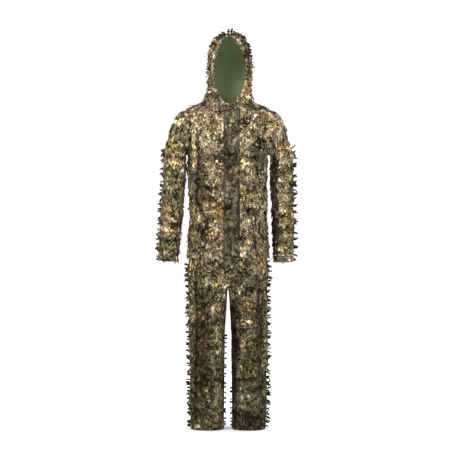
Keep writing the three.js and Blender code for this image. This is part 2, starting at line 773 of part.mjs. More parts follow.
// Half depth of the hood's front at a point of the face opening.
function hoodFrontAt(x, z) {
  const flat = (height) => {
    const ring = hoodRing(height);
    const half = Math.max(...ring.points.map((p) => p.x));
    const front = -Math.min(...ring.points.map((p) => p.y));
    const share = Math.min(Math.abs(x) / half, 0.98);
    const depth = front * (1 - share ** 2.1) ** (1 / 2.1);
    return { depth, z: height - depth * ring.plane.y / -ring.plane.z };
  };
  const depths = spread(NECK_Z, CROWN_Z - 12, 60).map(flat);
  return depths.reduce((best, at) => (Math.abs(at.z - z) < Math.abs(best.z - z) ? at : best)).depth;
}

// The rim's section at an angle round the face opening, 0 at its top.
function rimSection(angle) {
  const at = (grow, y) => {
    const x = (FACE_WIDTH / 2 + grow) * Math.sin(angle);
    const z = FACE_Z + (FACE_HEIGHT / 2 + grow) * Math.cos(angle);
    return new THREE.Vector3(x, y, z);
  };
  const middle = at(RIM_WIDTH / 2, 0);
  const front = -hoodFrontAt(middle.x, middle.z) - 1;
  const outer = RIM_WIDTH - GAP;
  return [at(0, front), at(outer, front), at(outer, front + RIM_THICK), at(0, front + RIM_THICK)];
}

const rimSplit = Math.acos((collarTop - 30 - FACE_Z) / (FACE_HEIGHT / 2));
addPiece(
  "hood_rim",
  bar(spread(-rimSplit + 0.002, rimSplit - 0.002, 24).map(rimSection)),
  printedCloth,
);
addPiece(
  "chin_rim",
  bar(spread(rimSplit + 0.002, FULL_TURN - rimSplit - 0.002, 10).map(rimSection)),
  printedCloth,
);

// ---------------------------------------------------------------- trousers
const roundTheSeat = spread(-QUARTER, 3 * QUARTER, 22);
const seatLevels = levels(INSEAM + GAP, WAIST_Z - WAISTBAND - GAP, [
  INSEAM + LEGS_PARTED,
  INSEAM + 0.35 * CROTCH_CURVE,
  ...seatStations.map(([z]) => z),
]);

function seatHalf(side, heights, thinner) {
  const rings = heights.map((z) => ({
    points: roundTheSeat.map((angle) => seatPoint(side, z, angle, thinner)),
    middle: new THREE.Vector3(side * legMiddle, 0, z),
    plane: UP,
  }));
  return toSolid(filled(rings));
}

// Both halves together, less the room inside them, which runs out at the top and the bottom.
function seatShell() {
  const [bottom, top] = [seatLevels[0], seatLevels[seatLevels.length - 1]];
  const inside = [bottom - 10, ...seatLevels.map((z) => z + 0.5 * SHELL).slice(1, -1), top + 10];
  const outer = seatHalf(LEFT, seatLevels, 0).add(seatHalf(RIGHT, seatLevels, 0));
  const inner = seatHalf(LEFT, inside, SHELL).add(seatHalf(RIGHT, inside, SHELL));
  return toGeometry(outer.subtract(inner));
}
const seat = seatShell();

for (const [side, label] of [[LEFT, "left"], [RIGHT, "right"]]) {
  const [west, east] = side === LEFT ? [HALF_GAP, TALL] : [-TALL, -HALF_GAP];
  const front = between(seat, [west, -TALL], [east, -HALF_GAP]);
  const back = between(seat, [west, HALF_GAP], [east, TALL]);
  addPiece(`trousers_front_${label}`, front, printedCloth);
  addPiece(`trousers_back_${label}`, back, printedCloth);

  const tube = (from, to) => [legRing(side, from), legRing(side, to)];
  const thighTop = INSEAM - GAP;
  const thighBottom = INSEAM - GAP - THIGH_FOLD;
  const kneeTop = KNEE_HEIGHT + KNEE_FOLD / 2;
  const kneeBottom = KNEE_HEIGHT - KNEE_FOLD / 2;
  const upper = tube(kneeTop + GAP, thighBottom - GAP);
  const lower = tube(TROUSER_HEM + GAP, kneeBottom - GAP);
  addPiece(`leg_top_${label}`, wall(tube(thighBottom, thighTop), SHELL), printedCloth);
  addPiece(`leg_upper_${label}`, wall(upper, SHELL), printedCloth);
  addPiece(`leg_knee_${label}`, wall(tube(kneeBottom, kneeTop), SHELL), printedCloth);
  addPiece(`leg_lower_${label}`, wall(lower, SHELL), printedCloth);
  addPiece(`leg_hem_${label}`, wall(tube(0, TROUSER_HEM), SHELL), printedCloth);
  const band = [ELASTIC_INSET, TROUSER_HEM - ELASTIC_INSET].map((z) =>
    legRing(side, z, SHELL + GAP),
  );
  addPiece(`leg_hem_elastic_${label}`, wall(band, ELASTIC), elasticBand);
  addPiece(`leg_upper_leaves_${label}`, limbLeafStrip(upper[1], upper[0], side), leafCloth);
  addPiece(`leg_lower_leaves_${label}`, limbLeafStrip(lower[1], lower[0], side), leafCloth);
}

// The waistband is one loop over both halves.
function waistRing(z) {
  const half = (side) => spread(-QUARTER, 3 * QUARTER, 16).map((angle) => seatPoint(side, z, angle));
  const left = half(LEFT).slice(1, -1);
  const right = half(RIGHT).slice(1, -1).reverse();
  return { points: [...left, ...right], middle: new THREE.Vector3(0, 0, z), plane: UP };
}
const bandRings = [WAIST_Z - WAISTBAND, WAIST_Z].map(waistRing);
addPiece("waistband", wall(bandRings, SHELL), printedCloth);
const waistElastic = [WAIST_Z - WAISTBAND + ELASTIC_INSET, WAIST_Z - ELASTIC_INSET].map(waistRing);
addPiece(
  "waist_elastic",
  wall(offsetRings(waistElastic, -SHELL - GAP), ELASTIC),
  elasticBand,
);

// ---------------------------------------------------------------- zip
// The zip's own frame: x across, y backwards through the cloth, z up along the teeth.
const neckFront = NECK_Z - NECK_DIP * frontDepth(NECK_Z, NECK_DIP);
const zipLength = (neckFront - ZIP_BELOW_NECK - JACKET_Z) * Math.hypot(1, ZIP_LEAN);
const tapeFront = SHELL + GAP + ZIP_BEHIND;
const zipMiddle = tapeFront + TAPE_THICK / 2;
const zip = new THREE.Group();
zip.position.set(0, -FRONT_AT_HEM + zipMiddle, JACKET_Z);
zip.rotation.x = -Math.atan(ZIP_LEAN);
suit.add(zip);

const teethBottom = RETAINER_HEIGHT + GAP;
for (const [side, label] of [[LEFT, "left"], [RIGHT, "right"]]) {
  const teethX = side * (TEETH_GAP / 2 + TEETH_WIDTH / 2);
  const teethLength = zipLength - teethBottom;
  const teeth = box(TEETH_WIDTH, TEETH_THICK, teethLength, teethX, 0, teethBottom + teethLength / 2);
  addPiece(`zip_teeth_${label}`, teeth, zipPlastic, zip);
  const tapeX = side * (TEETH_GAP / 2 + TEETH_WIDTH + GAP + TAPE_WIDTH / 2);
  const tape = box(TAPE_WIDTH, TAPE_THICK, zipLength, tapeX, 0, zipLength / 2);
  addPiece(`zip_tape_${label}`, tape, zipPlastic, zip);
}
const retainerWidth = TEETH_GAP + 2 * TEETH_WIDTH;
addPiece(
  "zip_retainer_box",
  box(retainerWidth, TEETH_THICK + 1, RETAINER_HEIGHT, 0, 0, RETAINER_HEIGHT / 2),
  zipPlastic,
  zip,
);

// The slider is one section drawn along the zip: two plates joined by a thin web between the
// rows of teeth, with lips that hold the teeth in and leave a slot for each tape.
function sliderOutline() {
  const inside = TEETH_THICK / 2 + SLIDER_PLAY;
  const outside = inside + SLIDER_PLATE;
  const lipFrom = SLIDER_WIDTH / 2 - 0.9;
  const slot = TAPE_THICK / 2 + SLIDER_PLAY;
  const web = TEETH_GAP / 2 - SLIDER_PLAY;
  const outline = new THREE.Shape();
  const quarter = [
    [web, inside],
    [lipFrom, inside],
    [lipFrom, slot],
    [SLIDER_WIDTH / 2, slot],
    [SLIDER_WIDTH / 2, outside],
  ];
  const front = quarter.map(([x, y]) => [x, y]);
  const path = [
    ...front,
    ...quarter.map(([x, y]) => [-x, y]).reverse(),
    ...quarter.map(([x, y]) => [-x, -y]),
    ...quarter.map(([x, y]) => [x, -y]).reverse(),
  ];
  outline.setFromPoints(path.map(([x, y]) => new THREE.Vector2(x, y)));
  return outline;
}
const sliderBody = new THREE.ExtrudeGeometry(sliderOutline(), {
  depth: SLIDER_LENGTH,
  bevelEnabled: false,
});
sliderBody.translate(0, 0, zipLength - SLIDER_LENGTH);
const plateFront = -(TEETH_THICK / 2 + SLIDER_PLAY + SLIDER_PLATE);
const bridgeZ = zipLength - SLIDER_LENGTH / 2;

// The bridge is an arch over the front plate that carries the pull.
function bridge() {
  const rise = BRIDGE_RISE + BRIDGE_THICK;
  const outer = box(2, rise + 0.2, BRIDGE_LENGTH, 0, plateFront - rise / 2 + 0.1, bridgeZ);
  const window = box(
    4,
    BRIDGE_RISE,
    BRIDGE_LENGTH - 2 * BRIDGE_THICK,
    0,
    plateFront - BRIDGE_RISE / 2,
    bridgeZ,
  );
  return toSolid(outer).subtract(toSolid(window));
}
addPiece("zip_slider", toGeometry(toSolid(sliderBody).add(bridge())), zipMetal, zip);

// The pull hangs in the bridge, with an eye round the bridge's lower end.
const EYE_PLAY = 0.5;
const EYE_HEIGHT = 7;
const PULL_BAR = 1.6; // the pull's end, held behind the bridge
function pullPlate() {
  const eye = 2 * (BRIDGE_THICK / 2 + EYE_PLAY) + 2;
  const top = bridgeZ - BRIDGE_LENGTH / 2 + BRIDGE_THICK + GAP + PULL_BAR;
  const plate = box(PULL_WIDTH, PULL_THICK, PULL_LENGTH, 0, 0, top - PULL_LENGTH / 2);
  const window = box(2 + 2 * EYE_PLAY, eye, EYE_HEIGHT, 0, 0, top - PULL_BAR - EYE_HEIGHT / 2);
  return cut(plate, window).translate(0, plateFront - BRIDGE_RISE / 2, 0);
}
addPiece("zip_pull", pullPlate(), zipMetal, zip);

// ---------------------------------------------------------------- loop and hood leaves
function hangLoop() {
  const outline = new THREE.Shape();
  const [half, inner] = [LOOP_WIDTH / 2, LOOP_WIDTH / 2 - LOOP_RIBBON];
  outline.moveTo(-half, 0);
  outline.lineTo(half, 0);
  outline.lineTo(half, LOOP_DROP);
  outline.lineTo(-half, LOOP_DROP);
  outline.closePath();
  const hole = new THREE.Path();
  hole.moveTo(-inner, LOOP_RIBBON);
  hole.lineTo(inner, LOOP_RIBBON);
  hole.lineTo(inner, LOOP_DROP - LOOP_RIBBON);
  hole.lineTo(-inner, LOOP_DROP - LOOP_RIBBON);
  hole.closePath();
  outline.holes.push(hole);
  const loop = new THREE.ExtrudeGeometry(outline, { depth: LOOP_THICK, bevelEnabled: false });
  loop.rotateX(QUARTER);
  const neck = [NECK_Z - 30, NECK_Z - GAP].map((z) => trunkRing(z, roundTheTrunk));
  const ring = offsetRings(neck, -SHELL)[1];
  const nearest = ring.points
    .filter((p) => p.y > 0 && Math.abs(p.x) <= half + 12)
    .reduce((best, p) => Math.min(best, p.y), Infinity);
  return loop.translate(0, nearest + LOOP_SEAT, NECK_Z + NECK_DIP * NECK_BACK - LOOP_DROP - 8);
}
addPiece("hang_loop", hangLoop(), elasticBand);

// Leaves that stand out round the hood a little behind its rim.
function hoodLeaves() {
  const planeY = -0.5 * HOOD_FRONT;
  const side = [];
  for (const z of spread(collarTop + 6, CROWN_Z - 14, 10)) {
    const ring = hoodRing(z);
    const half = Math.max(...ring.points.map((p) => p.x));
    const front = -Math.min(...ring.points.map((p) => p.y));
    const share = Math.min(Math.abs(planeY) / front, 1);
    side.push([half * (1 - share ** 2.1) ** (1 / 2.1), z]);
  }
  side.push([0, CROWN_Z - 4]);
  const middle = [0, FACE_Z];
  const outwards = ([x, z], by) => {
    const length = Math.hypot(x - middle[0], z - middle[1]);
    return [x + ((x - middle[0]) / length) * by, z + ((z - middle[1]) / length) * by];
  };
  const edge = [];
  side.forEach((point, i) => {
    edge.push(outwards(point, LEAF_ROOT + 3));
    if (i + 1 < side.length) {
      const next = side[i + 1];
      edge.push(outwards([(point[0] + next[0]) / 2, (point[1] + next[1]) / 2], LEAF_REACH + 3));
    }
  });
  const mirrored = edge.slice(0, -1).map(([x, z]) => [-x, z]).reverse();
  const outline = new THREE.Shape([...edge, ...mirrored].map(([x, z]) => new THREE.Vector2(x, z)));
  const crown = new THREE.ExtrudeGeometry(outline, { depth: LEAF_THICK, bevelEnabled: false });
  crown.rotateX(QUARTER).translate(0, planeY, 0);
  return cut(crown, filled(hoodRings(collarTop - 20, CROWN_Z), GAP));
}
addPiece("hood_leaves", hoodLeaves(), leafCloth);

export default suit;
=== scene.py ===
"""A leafy camouflage suit as it is worn: a hooded zip jacket with a storm flap, over trousers.

Lengths are in millimetres and heights are counted from the trouser hems, as a cutter works.
Meshes are put into metres, with the origin at the middle of the trousers' waist.
"""

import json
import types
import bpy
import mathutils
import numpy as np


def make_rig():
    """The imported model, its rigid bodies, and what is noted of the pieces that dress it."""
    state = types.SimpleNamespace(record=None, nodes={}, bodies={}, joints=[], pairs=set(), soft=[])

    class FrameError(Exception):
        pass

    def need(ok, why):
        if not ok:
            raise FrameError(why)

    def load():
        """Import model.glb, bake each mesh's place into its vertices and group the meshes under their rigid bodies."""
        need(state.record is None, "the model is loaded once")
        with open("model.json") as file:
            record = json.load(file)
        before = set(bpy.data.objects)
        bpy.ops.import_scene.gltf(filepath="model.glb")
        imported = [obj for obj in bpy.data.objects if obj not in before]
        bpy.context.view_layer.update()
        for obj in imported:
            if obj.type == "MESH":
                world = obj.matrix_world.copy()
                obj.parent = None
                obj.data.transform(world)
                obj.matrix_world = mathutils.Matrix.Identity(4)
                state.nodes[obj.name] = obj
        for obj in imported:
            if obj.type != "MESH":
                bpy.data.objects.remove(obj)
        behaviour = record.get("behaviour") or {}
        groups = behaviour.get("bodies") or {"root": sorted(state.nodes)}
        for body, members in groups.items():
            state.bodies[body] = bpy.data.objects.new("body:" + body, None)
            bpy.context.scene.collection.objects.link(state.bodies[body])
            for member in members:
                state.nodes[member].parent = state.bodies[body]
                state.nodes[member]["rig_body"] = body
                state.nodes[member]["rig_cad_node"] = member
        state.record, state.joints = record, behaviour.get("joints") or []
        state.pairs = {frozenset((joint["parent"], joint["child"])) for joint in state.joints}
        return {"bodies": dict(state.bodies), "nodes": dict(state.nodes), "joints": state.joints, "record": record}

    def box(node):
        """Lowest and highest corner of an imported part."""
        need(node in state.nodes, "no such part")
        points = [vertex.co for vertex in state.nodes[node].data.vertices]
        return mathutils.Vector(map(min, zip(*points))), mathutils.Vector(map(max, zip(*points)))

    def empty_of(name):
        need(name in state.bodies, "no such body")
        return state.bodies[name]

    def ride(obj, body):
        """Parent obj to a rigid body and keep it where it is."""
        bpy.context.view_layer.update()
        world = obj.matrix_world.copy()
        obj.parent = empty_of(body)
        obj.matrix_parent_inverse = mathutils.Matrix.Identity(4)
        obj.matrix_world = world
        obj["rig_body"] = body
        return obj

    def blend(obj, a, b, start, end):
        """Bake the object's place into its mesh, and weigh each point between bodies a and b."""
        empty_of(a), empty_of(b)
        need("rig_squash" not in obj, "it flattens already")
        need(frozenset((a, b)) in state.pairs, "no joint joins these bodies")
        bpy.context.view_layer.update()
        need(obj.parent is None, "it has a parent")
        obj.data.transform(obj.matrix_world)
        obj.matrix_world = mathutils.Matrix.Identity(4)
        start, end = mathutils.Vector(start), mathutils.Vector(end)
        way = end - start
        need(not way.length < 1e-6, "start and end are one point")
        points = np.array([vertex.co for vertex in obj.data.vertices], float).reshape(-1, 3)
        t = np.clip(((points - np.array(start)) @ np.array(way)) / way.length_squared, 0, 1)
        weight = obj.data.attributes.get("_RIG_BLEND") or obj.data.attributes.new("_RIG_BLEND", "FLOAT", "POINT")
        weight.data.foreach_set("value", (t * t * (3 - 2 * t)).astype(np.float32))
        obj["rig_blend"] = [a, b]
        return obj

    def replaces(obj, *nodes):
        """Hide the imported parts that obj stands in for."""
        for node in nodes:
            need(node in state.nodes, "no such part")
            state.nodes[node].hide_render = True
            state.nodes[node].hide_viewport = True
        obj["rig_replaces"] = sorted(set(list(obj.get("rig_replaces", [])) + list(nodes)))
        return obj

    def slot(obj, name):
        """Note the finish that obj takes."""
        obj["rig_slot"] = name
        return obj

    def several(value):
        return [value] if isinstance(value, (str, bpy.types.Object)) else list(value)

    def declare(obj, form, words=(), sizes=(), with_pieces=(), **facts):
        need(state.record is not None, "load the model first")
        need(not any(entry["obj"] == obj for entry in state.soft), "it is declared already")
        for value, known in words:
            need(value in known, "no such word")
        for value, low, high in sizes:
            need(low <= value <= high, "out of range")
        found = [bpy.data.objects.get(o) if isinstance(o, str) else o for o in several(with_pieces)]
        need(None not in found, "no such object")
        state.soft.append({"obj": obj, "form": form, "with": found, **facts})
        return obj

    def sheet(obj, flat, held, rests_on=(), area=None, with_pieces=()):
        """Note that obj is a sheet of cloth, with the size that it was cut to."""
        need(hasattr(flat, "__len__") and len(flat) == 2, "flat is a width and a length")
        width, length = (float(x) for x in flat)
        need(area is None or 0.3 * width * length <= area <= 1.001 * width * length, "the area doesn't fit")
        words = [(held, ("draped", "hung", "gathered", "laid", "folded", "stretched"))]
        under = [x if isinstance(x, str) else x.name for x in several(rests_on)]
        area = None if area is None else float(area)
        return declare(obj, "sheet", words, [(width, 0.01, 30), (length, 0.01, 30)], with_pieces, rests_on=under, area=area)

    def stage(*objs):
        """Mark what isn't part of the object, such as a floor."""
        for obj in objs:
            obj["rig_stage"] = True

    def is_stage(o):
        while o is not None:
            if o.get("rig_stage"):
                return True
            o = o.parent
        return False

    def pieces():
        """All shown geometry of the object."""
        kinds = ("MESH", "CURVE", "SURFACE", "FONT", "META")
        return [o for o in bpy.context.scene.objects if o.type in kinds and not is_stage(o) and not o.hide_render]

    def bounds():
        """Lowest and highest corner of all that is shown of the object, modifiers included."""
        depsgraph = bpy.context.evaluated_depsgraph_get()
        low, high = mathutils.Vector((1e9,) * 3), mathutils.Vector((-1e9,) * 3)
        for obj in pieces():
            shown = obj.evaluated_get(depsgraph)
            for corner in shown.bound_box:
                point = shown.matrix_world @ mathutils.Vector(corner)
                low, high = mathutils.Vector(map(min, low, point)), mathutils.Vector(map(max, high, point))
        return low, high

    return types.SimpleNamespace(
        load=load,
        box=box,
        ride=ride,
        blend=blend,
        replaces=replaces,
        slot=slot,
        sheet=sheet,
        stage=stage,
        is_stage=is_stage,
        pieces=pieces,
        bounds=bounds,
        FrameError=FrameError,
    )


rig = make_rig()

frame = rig.load()
cad_low, cad_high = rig.bounds()

import itertools
import json
import logging
import math
from dataclasses import dataclass, field
from enum import Enum

import bpy
import numpy as np
from mathutils import Vector

MM = 0.001
WAIST_HEIGHT = -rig.box("leg_hem_left")[0].z / MM
QUARTER = math.pi / 2
SEED = 816
SIZE_FILE = "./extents.json"
LOG = logging.getLogger("suit")

Array = np.ndarray
Sockets = bpy.types.NodeSocket
Piece = bpy.types.Object


class Side(Enum):
	"""The wearer's side, with its direction along X."""

	LEFT = 1
	RIGHT = -1

	@property
	def label(self) -> str:
		"""The side's name as the pieces spell it."""
		return self.name.lower()


# ---- numbers and noise
def power(value: Array, exponent: Array) -> Array:
	"""Raises a value's size to a power and keeps its sign."""
	return np.sign(value) * np.abs(value) ** exponent


def unit(vectors: Array) -> Array:
	"""Scales vectors to a length of one."""
	return vectors / np.maximum(np.linalg.norm(vectors, axis=-1, keepdims=True), 1e-9)


def eased(stations: tuple, places: Array) -> Array:
	"""Reads values from stations along a smooth line that never overshoots them.

	Args:
		stations: pairs of a place and the value there, in order.
		places: where the values are wanted.

	Returns:
		The value at each place, held at the end values beyond the stations.
	"""
	at, value = np.array(stations, float).T
	if len(at) == 2:
		return np.interp(places, at, value)
	steps, slopes = np.diff(at), np.diff(value) / np.diff(at)
	product, total = slopes[:-1] * slopes[1:], slopes[:-1] + slopes[1:]
	tangent = np.concatenate([slopes[:1], np.zeros(len(at) - 2), slopes[-1:]])
	same = product > 0
	tangent[1:-1][same] = 2 * product[same] / total[same]
	held = np.clip(places, at[0], at[-1])
	i = np.clip(np.searchsorted(at, held, "right") - 1, 0, len(at) - 2)
	t = (held - at[i]) / steps[i]
	return (
		value[i] * (1 + 2 * t) * (1 - t) ** 2
		+ tangent[i] * steps[i] * t * (1 - t) ** 2
		+ value[i + 1] * t * t * (3 - 2 * t)
		+ tangent[i + 1] * steps[i] * t * t * (t - 1)
	)


def lattice(cells: Array, seed: int) -> Array:
	"""Gives each whole-number cell a repeatable value from -1 to 1."""
	mixed = cells.astype(np.int64) @ np.array([73856093, 19349663, 83492791])
	mixed = (mixed + seed * 7919) & 0x7FFFFFFF
	mixed = ((mixed ^ (mixed >> 13)) * 1274126177) & 0x7FFFFFFF
	return ((mixed ^ (mixed >> 16)) % 65536) / 32767.5 - 1


def smooth_noise(points: Array, cell: tuple, seed: int) -> Array:
	"""Smooth repeatable noise in space.

	Args:
		points: places in millimetres, three numbers each.
		cell: how wide, deep and high the noise's cells are.
		seed: a number for the pattern.

	Returns:
		A value from -1 to 1 for each point.
	"""
	places = points / np.array(cell, float)
	base = np.floor(places)
	part = places - base
	part = part**3 * (part * (part * 6 - 15) + 10)
	total = np.zeros(points.shape[:-1])
	for corner in itertools.product((0, 1), repeat=3):
		weight = np.prod(np.where(np.array(corner) == 1, part, 1 - part), axis=-1)
		total += weight * lattice(base + np.array(corner), seed)
	return total


def creases(points: Array, cell: tuple, seed: int) -> Array:
	"""Noise with soft ridges and narrow valleys, as creased cloth has, from -1 to 1."""
	return 1 - 2 * np.abs(smooth_noise(points, cell, seed)) ** 0.8


def fade(distance: Array, reach: float) -> Array:
	"""A weight of one at no distance that falls away over the reach."""
	return np.exp(-((distance / reach) ** 2))


def straight(stations: tuple, places: Array) -> Array:
	"""Reads values from stations along the straight lines between them."""
	return np.interp(places, *np.array(stations).T)


def run_of(line: Array) -> Array:
	"""How far along a line each of its points is."""
	return np.concatenate([[0], np.linalg.norm(np.diff(line, axis=0), axis=1).cumsum()])


def read_at(places: Array, run: Array, values: Array) -> Array:
	"""Reads three numbers at each place of a run, from those that its points have."""
	return np.stack([np.interp(places, run, values[:, k]) for k in range(3)], -1)


def spread(points: Array, turns: Array, share: Array) -> Array:
	"""The turns at shares of each row's length, from points at known turns."""
	return np.stack([np.interp(share * run[-1], run, turns) for run in map(run_of, points)])


# ---- meshes
def in_frame(points: Array) -> Array:
	"""Puts the cutter's points into the frame, in metres."""
	return (points - np.array([0.0, 0.0, WAIST_HEIGHT])) * MM


def new_piece(name: str, points: Array, quads: Array) -> Piece:
	"""Makes a smooth mesh object from points in millimetres and four-cornered faces."""
	mesh = bpy.data.meshes.new(name)
	mesh.vertices.add(len(points))
	mesh.vertices.foreach_set("co", in_frame(points).astype(np.float32).ravel())
	mesh.loops.add(quads.size)
	mesh.loops.foreach_set("vertex_index", quads.astype(np.int32).ravel())
	mesh.polygons.add(len(quads))
	mesh.polygons.foreach_set("loop_start", np.arange(0, quads.size, 4, dtype=np.int32))
	mesh.polygons.foreach_set("use_smooth", np.ones(len(quads), bool))
	mesh.update(calc_edges=True)
	piece = bpy.data.objects.new(name, mesh)
	bpy.context.scene.collection.objects.link(piece)
	return piece


def colour_in(piece: Piece, print_at: Array, dye: Array) -> None:
	"""Stores where each point lies on the printed roll, and the dye's strength there.

	Args:
		piece: the mesh object.
		print_at: a place on the print for each point, in millimetres.
		dye: how much of red, green and blue the print keeps at each point.
	"""
	attributes = piece.data.attributes
	rolled = attributes.new("print_co", "FLOAT_VECTOR", "POINT")
	rolled.data.foreach_set("vector", (print_at * MM).astype(np.float32).ravel())
	dyed = attributes.new("dye", "FLOAT_COLOR", "POINT")
	rgba = np.ones((len(dye), 4), np.float32)
	rgba[:, :3] = dye
	dyed.data.foreach_set("color", rgba.ravel())


def thicken(piece: Piece, thickness: float) -> None:
	"""Gives cloth its thickness, inwards, with its unprinted side within."""
	wall = piece.modifiers.new("thickness", "SOLIDIFY")
	wall.thickness = thickness * MM
	wall.offset = -1
	wall.material_offset = 1


@dataclass
class Cloth:
	"""A cloth surface as rows of points, each row across it.

	Attributes:
		points: rows by columns by three, in millimetres.
		closed: whether each row runs round and joins itself.
		looped: whether the last row joins the first.
		normals: the outward direction at each point.
	"""

	points: Array
	closed: bool = False
	looped: bool = False
	normals: Array = None

	def __post_init__(self) -> None:
		"""Works out the outward directions where they aren't given."""
		if self.normals is None:
			self.normals = self.outward()

	def outward(self) -> Array:
		"""Finds the outward direction at each point from its neighbours."""
		points = self.points
		if self.closed:
			across = np.roll(points, -1, 1) - np.roll(points, 1, 1)
		else:
			across = np.gradient(points, axis=1)
		if self.looped:
			along = np.roll(points, -1, 0) - np.roll(points, 1, 0)
		else:
			along = np.gradient(points, axis=0)
		normals = unit(np.cross(across, along))
		out = points - points.mean(axis=1, keepdims=True)
		return normals if (normals * out).sum() > 0 else -normals

	def part(self, rows: slice, columns: list) -> "Cloth":
		"""Cuts an open panel out of the cloth, with the directions it has there."""
		return Cloth(self.points[rows][:, columns], normals=self.normals[rows][:, columns])

	def band(self, rows: slice) -> "Cloth":
		"""Cuts whole rows out of the cloth."""
		return Cloth(self.points[rows], self.closed, normals=self.normals[rows])

	def pushed(self, amount: Array) -> "Cloth":
		"""Moves each point outwards by an amount in millimetres."""
		moved = self.points + self.normals * np.asarray(amount)[..., None]
		return Cloth(moved, self.closed, self.looped)

	def quads(self, keep: Array = None) -> Array:
		"""Lists the four corners of each face, turned outwards.

		Args:
			keep: which faces stay, rows by columns, or None for all.

		Returns:
			Indices into the points, laid out row by row.
		"""
		rows, columns = self.points.shape[:2]
		index = np.arange(rows * columns).reshape(rows, columns)
		right = np.roll(index, -1, 1) if self.closed else index[:, 1:]
		left = index if self.closed else index[:, :-1]
		if self.looped:
			above_left, above_right = np.roll(left, -1, 0), np.roll(right, -1, 0)
		else:
			above_left, above_right = left[1:], right[1:]
			left, right = left[:-1], right[:-1]
		faces = np.stack([left, right, above_right, above_left], -1)
		faces = faces.reshape(-1, 4) if keep is None else faces[keep]
		flat, normals = self.points.reshape(-1, 3), self.normals.reshape(-1, 3)
		a, b, c = (flat[faces[:, k]] for k in range(3))
		facing = (np.cross(b - a, c - a) * normals[faces[:, 0]]).sum()
		return faces if facing > 0 else faces[:, ::-1]

	def flat_size(self) -> tuple:
		"""The cloth's width, length and area when it is laid flat, in metres."""
		points = self.points * MM
		across = np.linalg.norm(np.diff(points, axis=1), axis=2)
		if self.closed:
			joint = np.linalg.norm(points[:, :1] - points[:, -1:], axis=2)
			across = np.concatenate([across, joint], axis=1)
		along = np.linalg.norm(np.diff(points, axis=0), axis=2)
		width, length = across.sum(1).max(), along.sum(0).max()
		area = (across[:-1].sum(1) * along.mean(1)[: len(across) - 1]).sum()
		return width, length, area


def lay_down(name: str, cloth: Cloth, dye: "Dyer", keep: Array = None, thickness: float = 1.1) -> Piece:
	"""Makes a cloth piece from a surface, coloured by the dyer.

	Args:
		name: the piece's name.
		cloth: its surface.
		dye: what colours it.
		keep: which faces stay, or None for all.
		thickness: the cloth's, in millimetres.

	Returns:
		The new piece.
	"""
	quads = cloth.quads(keep)
	used, faces = np.unique(quads, return_inverse=True)
	points = cloth.points.reshape(-1, 3)[used]
	piece = new_piece(name, points, faces.reshape(-1, 4))
	colour_in(piece, points, dye.cloth(points))
	if thickness:
		thicken(piece, thickness)
	return piece


def even_round(surface, levels: Array, columns: int) -> Array:
	"""Lays rows round a section, evenly within each quarter, so that seams stay in line.

	Args:
		surface: gives points for levels and angles.
		levels: a height for each row.
		columns: points in each quarter.

	Returns:
		Rows of points from the middle of the front round the left side.
	"""
	fine = np.linspace(0, QUARTER, 73)
	share = np.linspace(0, 1, columns, endpoint=False)
	angles = []
	for turns in (quarter * QUARTER + fine for quarter in range(4)):
		points = surface(levels[:, None], turns[None, :])
		angles.append(spread(points, turns, share))
	return surface(levels[:, None], np.concatenate(angles, axis=1))


def even_levels(surface, low: float, high: float, spacing: float) -> Array:
	"""Heights from low to high whose rows lie evenly along the cloth at the side."""
	fine = np.linspace(low, high, 400)
	side = surface(fine[:, None], np.array([[QUARTER]]))[:, 0]
	run = run_of(side)
	rows = max(2, round(run[-1] / spacing))
	return np.interp(np.linspace(0, run[-1], rows + 1), run, fine)


def opened(ringed: Array) -> tuple:
	"""Finds what an opening takes from a cloth whose rows join themselves.

	Args:
		ringed: how far each point is from the opening's middle, where 1 is its edge.

	Returns:
		Which faces are gone, and which points are on the opening's edge.
	"""
	index = np.arange(ringed.size).reshape(ringed.shape)
	right = np.roll(index, -1, 1)
	corners = np.stack([index[:-1], right[:-1], right[1:], index[1:]], -1)
	gone = ringed.ravel()[corners].mean(-1) < 1
	inner, outer = np.zeros(ringed.size, bool), np.zeros(ringed.size, bool)
	inner[corners[gone].ravel()] = True
	outer[corners[~gone].ravel()] = True
	return gone, (inner & outer).reshape(ringed.shape)


def turned_out(tube: Cloth) -> Cloth:
	"""Turns a looped band's directions away from the middle of its section."""
	if (tube.normals * (tube.points - tube.points.mean(0, keepdims=True))).sum() < 0:
		tube.normals = -tube.normals
	return tube


def small_parts(name: str, points: list, rounds: int, cap: tuple) -> Piece:
	"""Makes one piece of many small closed bodies of one shape.

	Args:
		name: the piece's name.
		points: for each point of a body, section by section, its place on every body.
		rounds: points round a section.
		cap: the faces that close a body's first section.

	Returns:
		The new piece.
	"""
	places, cap, count = np.stack(points, axis=1), np.array(cap), len(points)
	index = np.arange(count).reshape(-1, rounds)
	after = np.roll(index, -1, 1)
	quads = np.stack([index[:-1], after[:-1], after[1:], index[1:]], -1).reshape(-1, 4)
	quads = np.concatenate([quads, cap, cap[:, ::-1] + count - rounds])
	faces = quads[None] + count * np.arange(len(places))[:, None, None]
	return new_piece(name, places.reshape(-1, 3), faces.reshape(-1, 4))


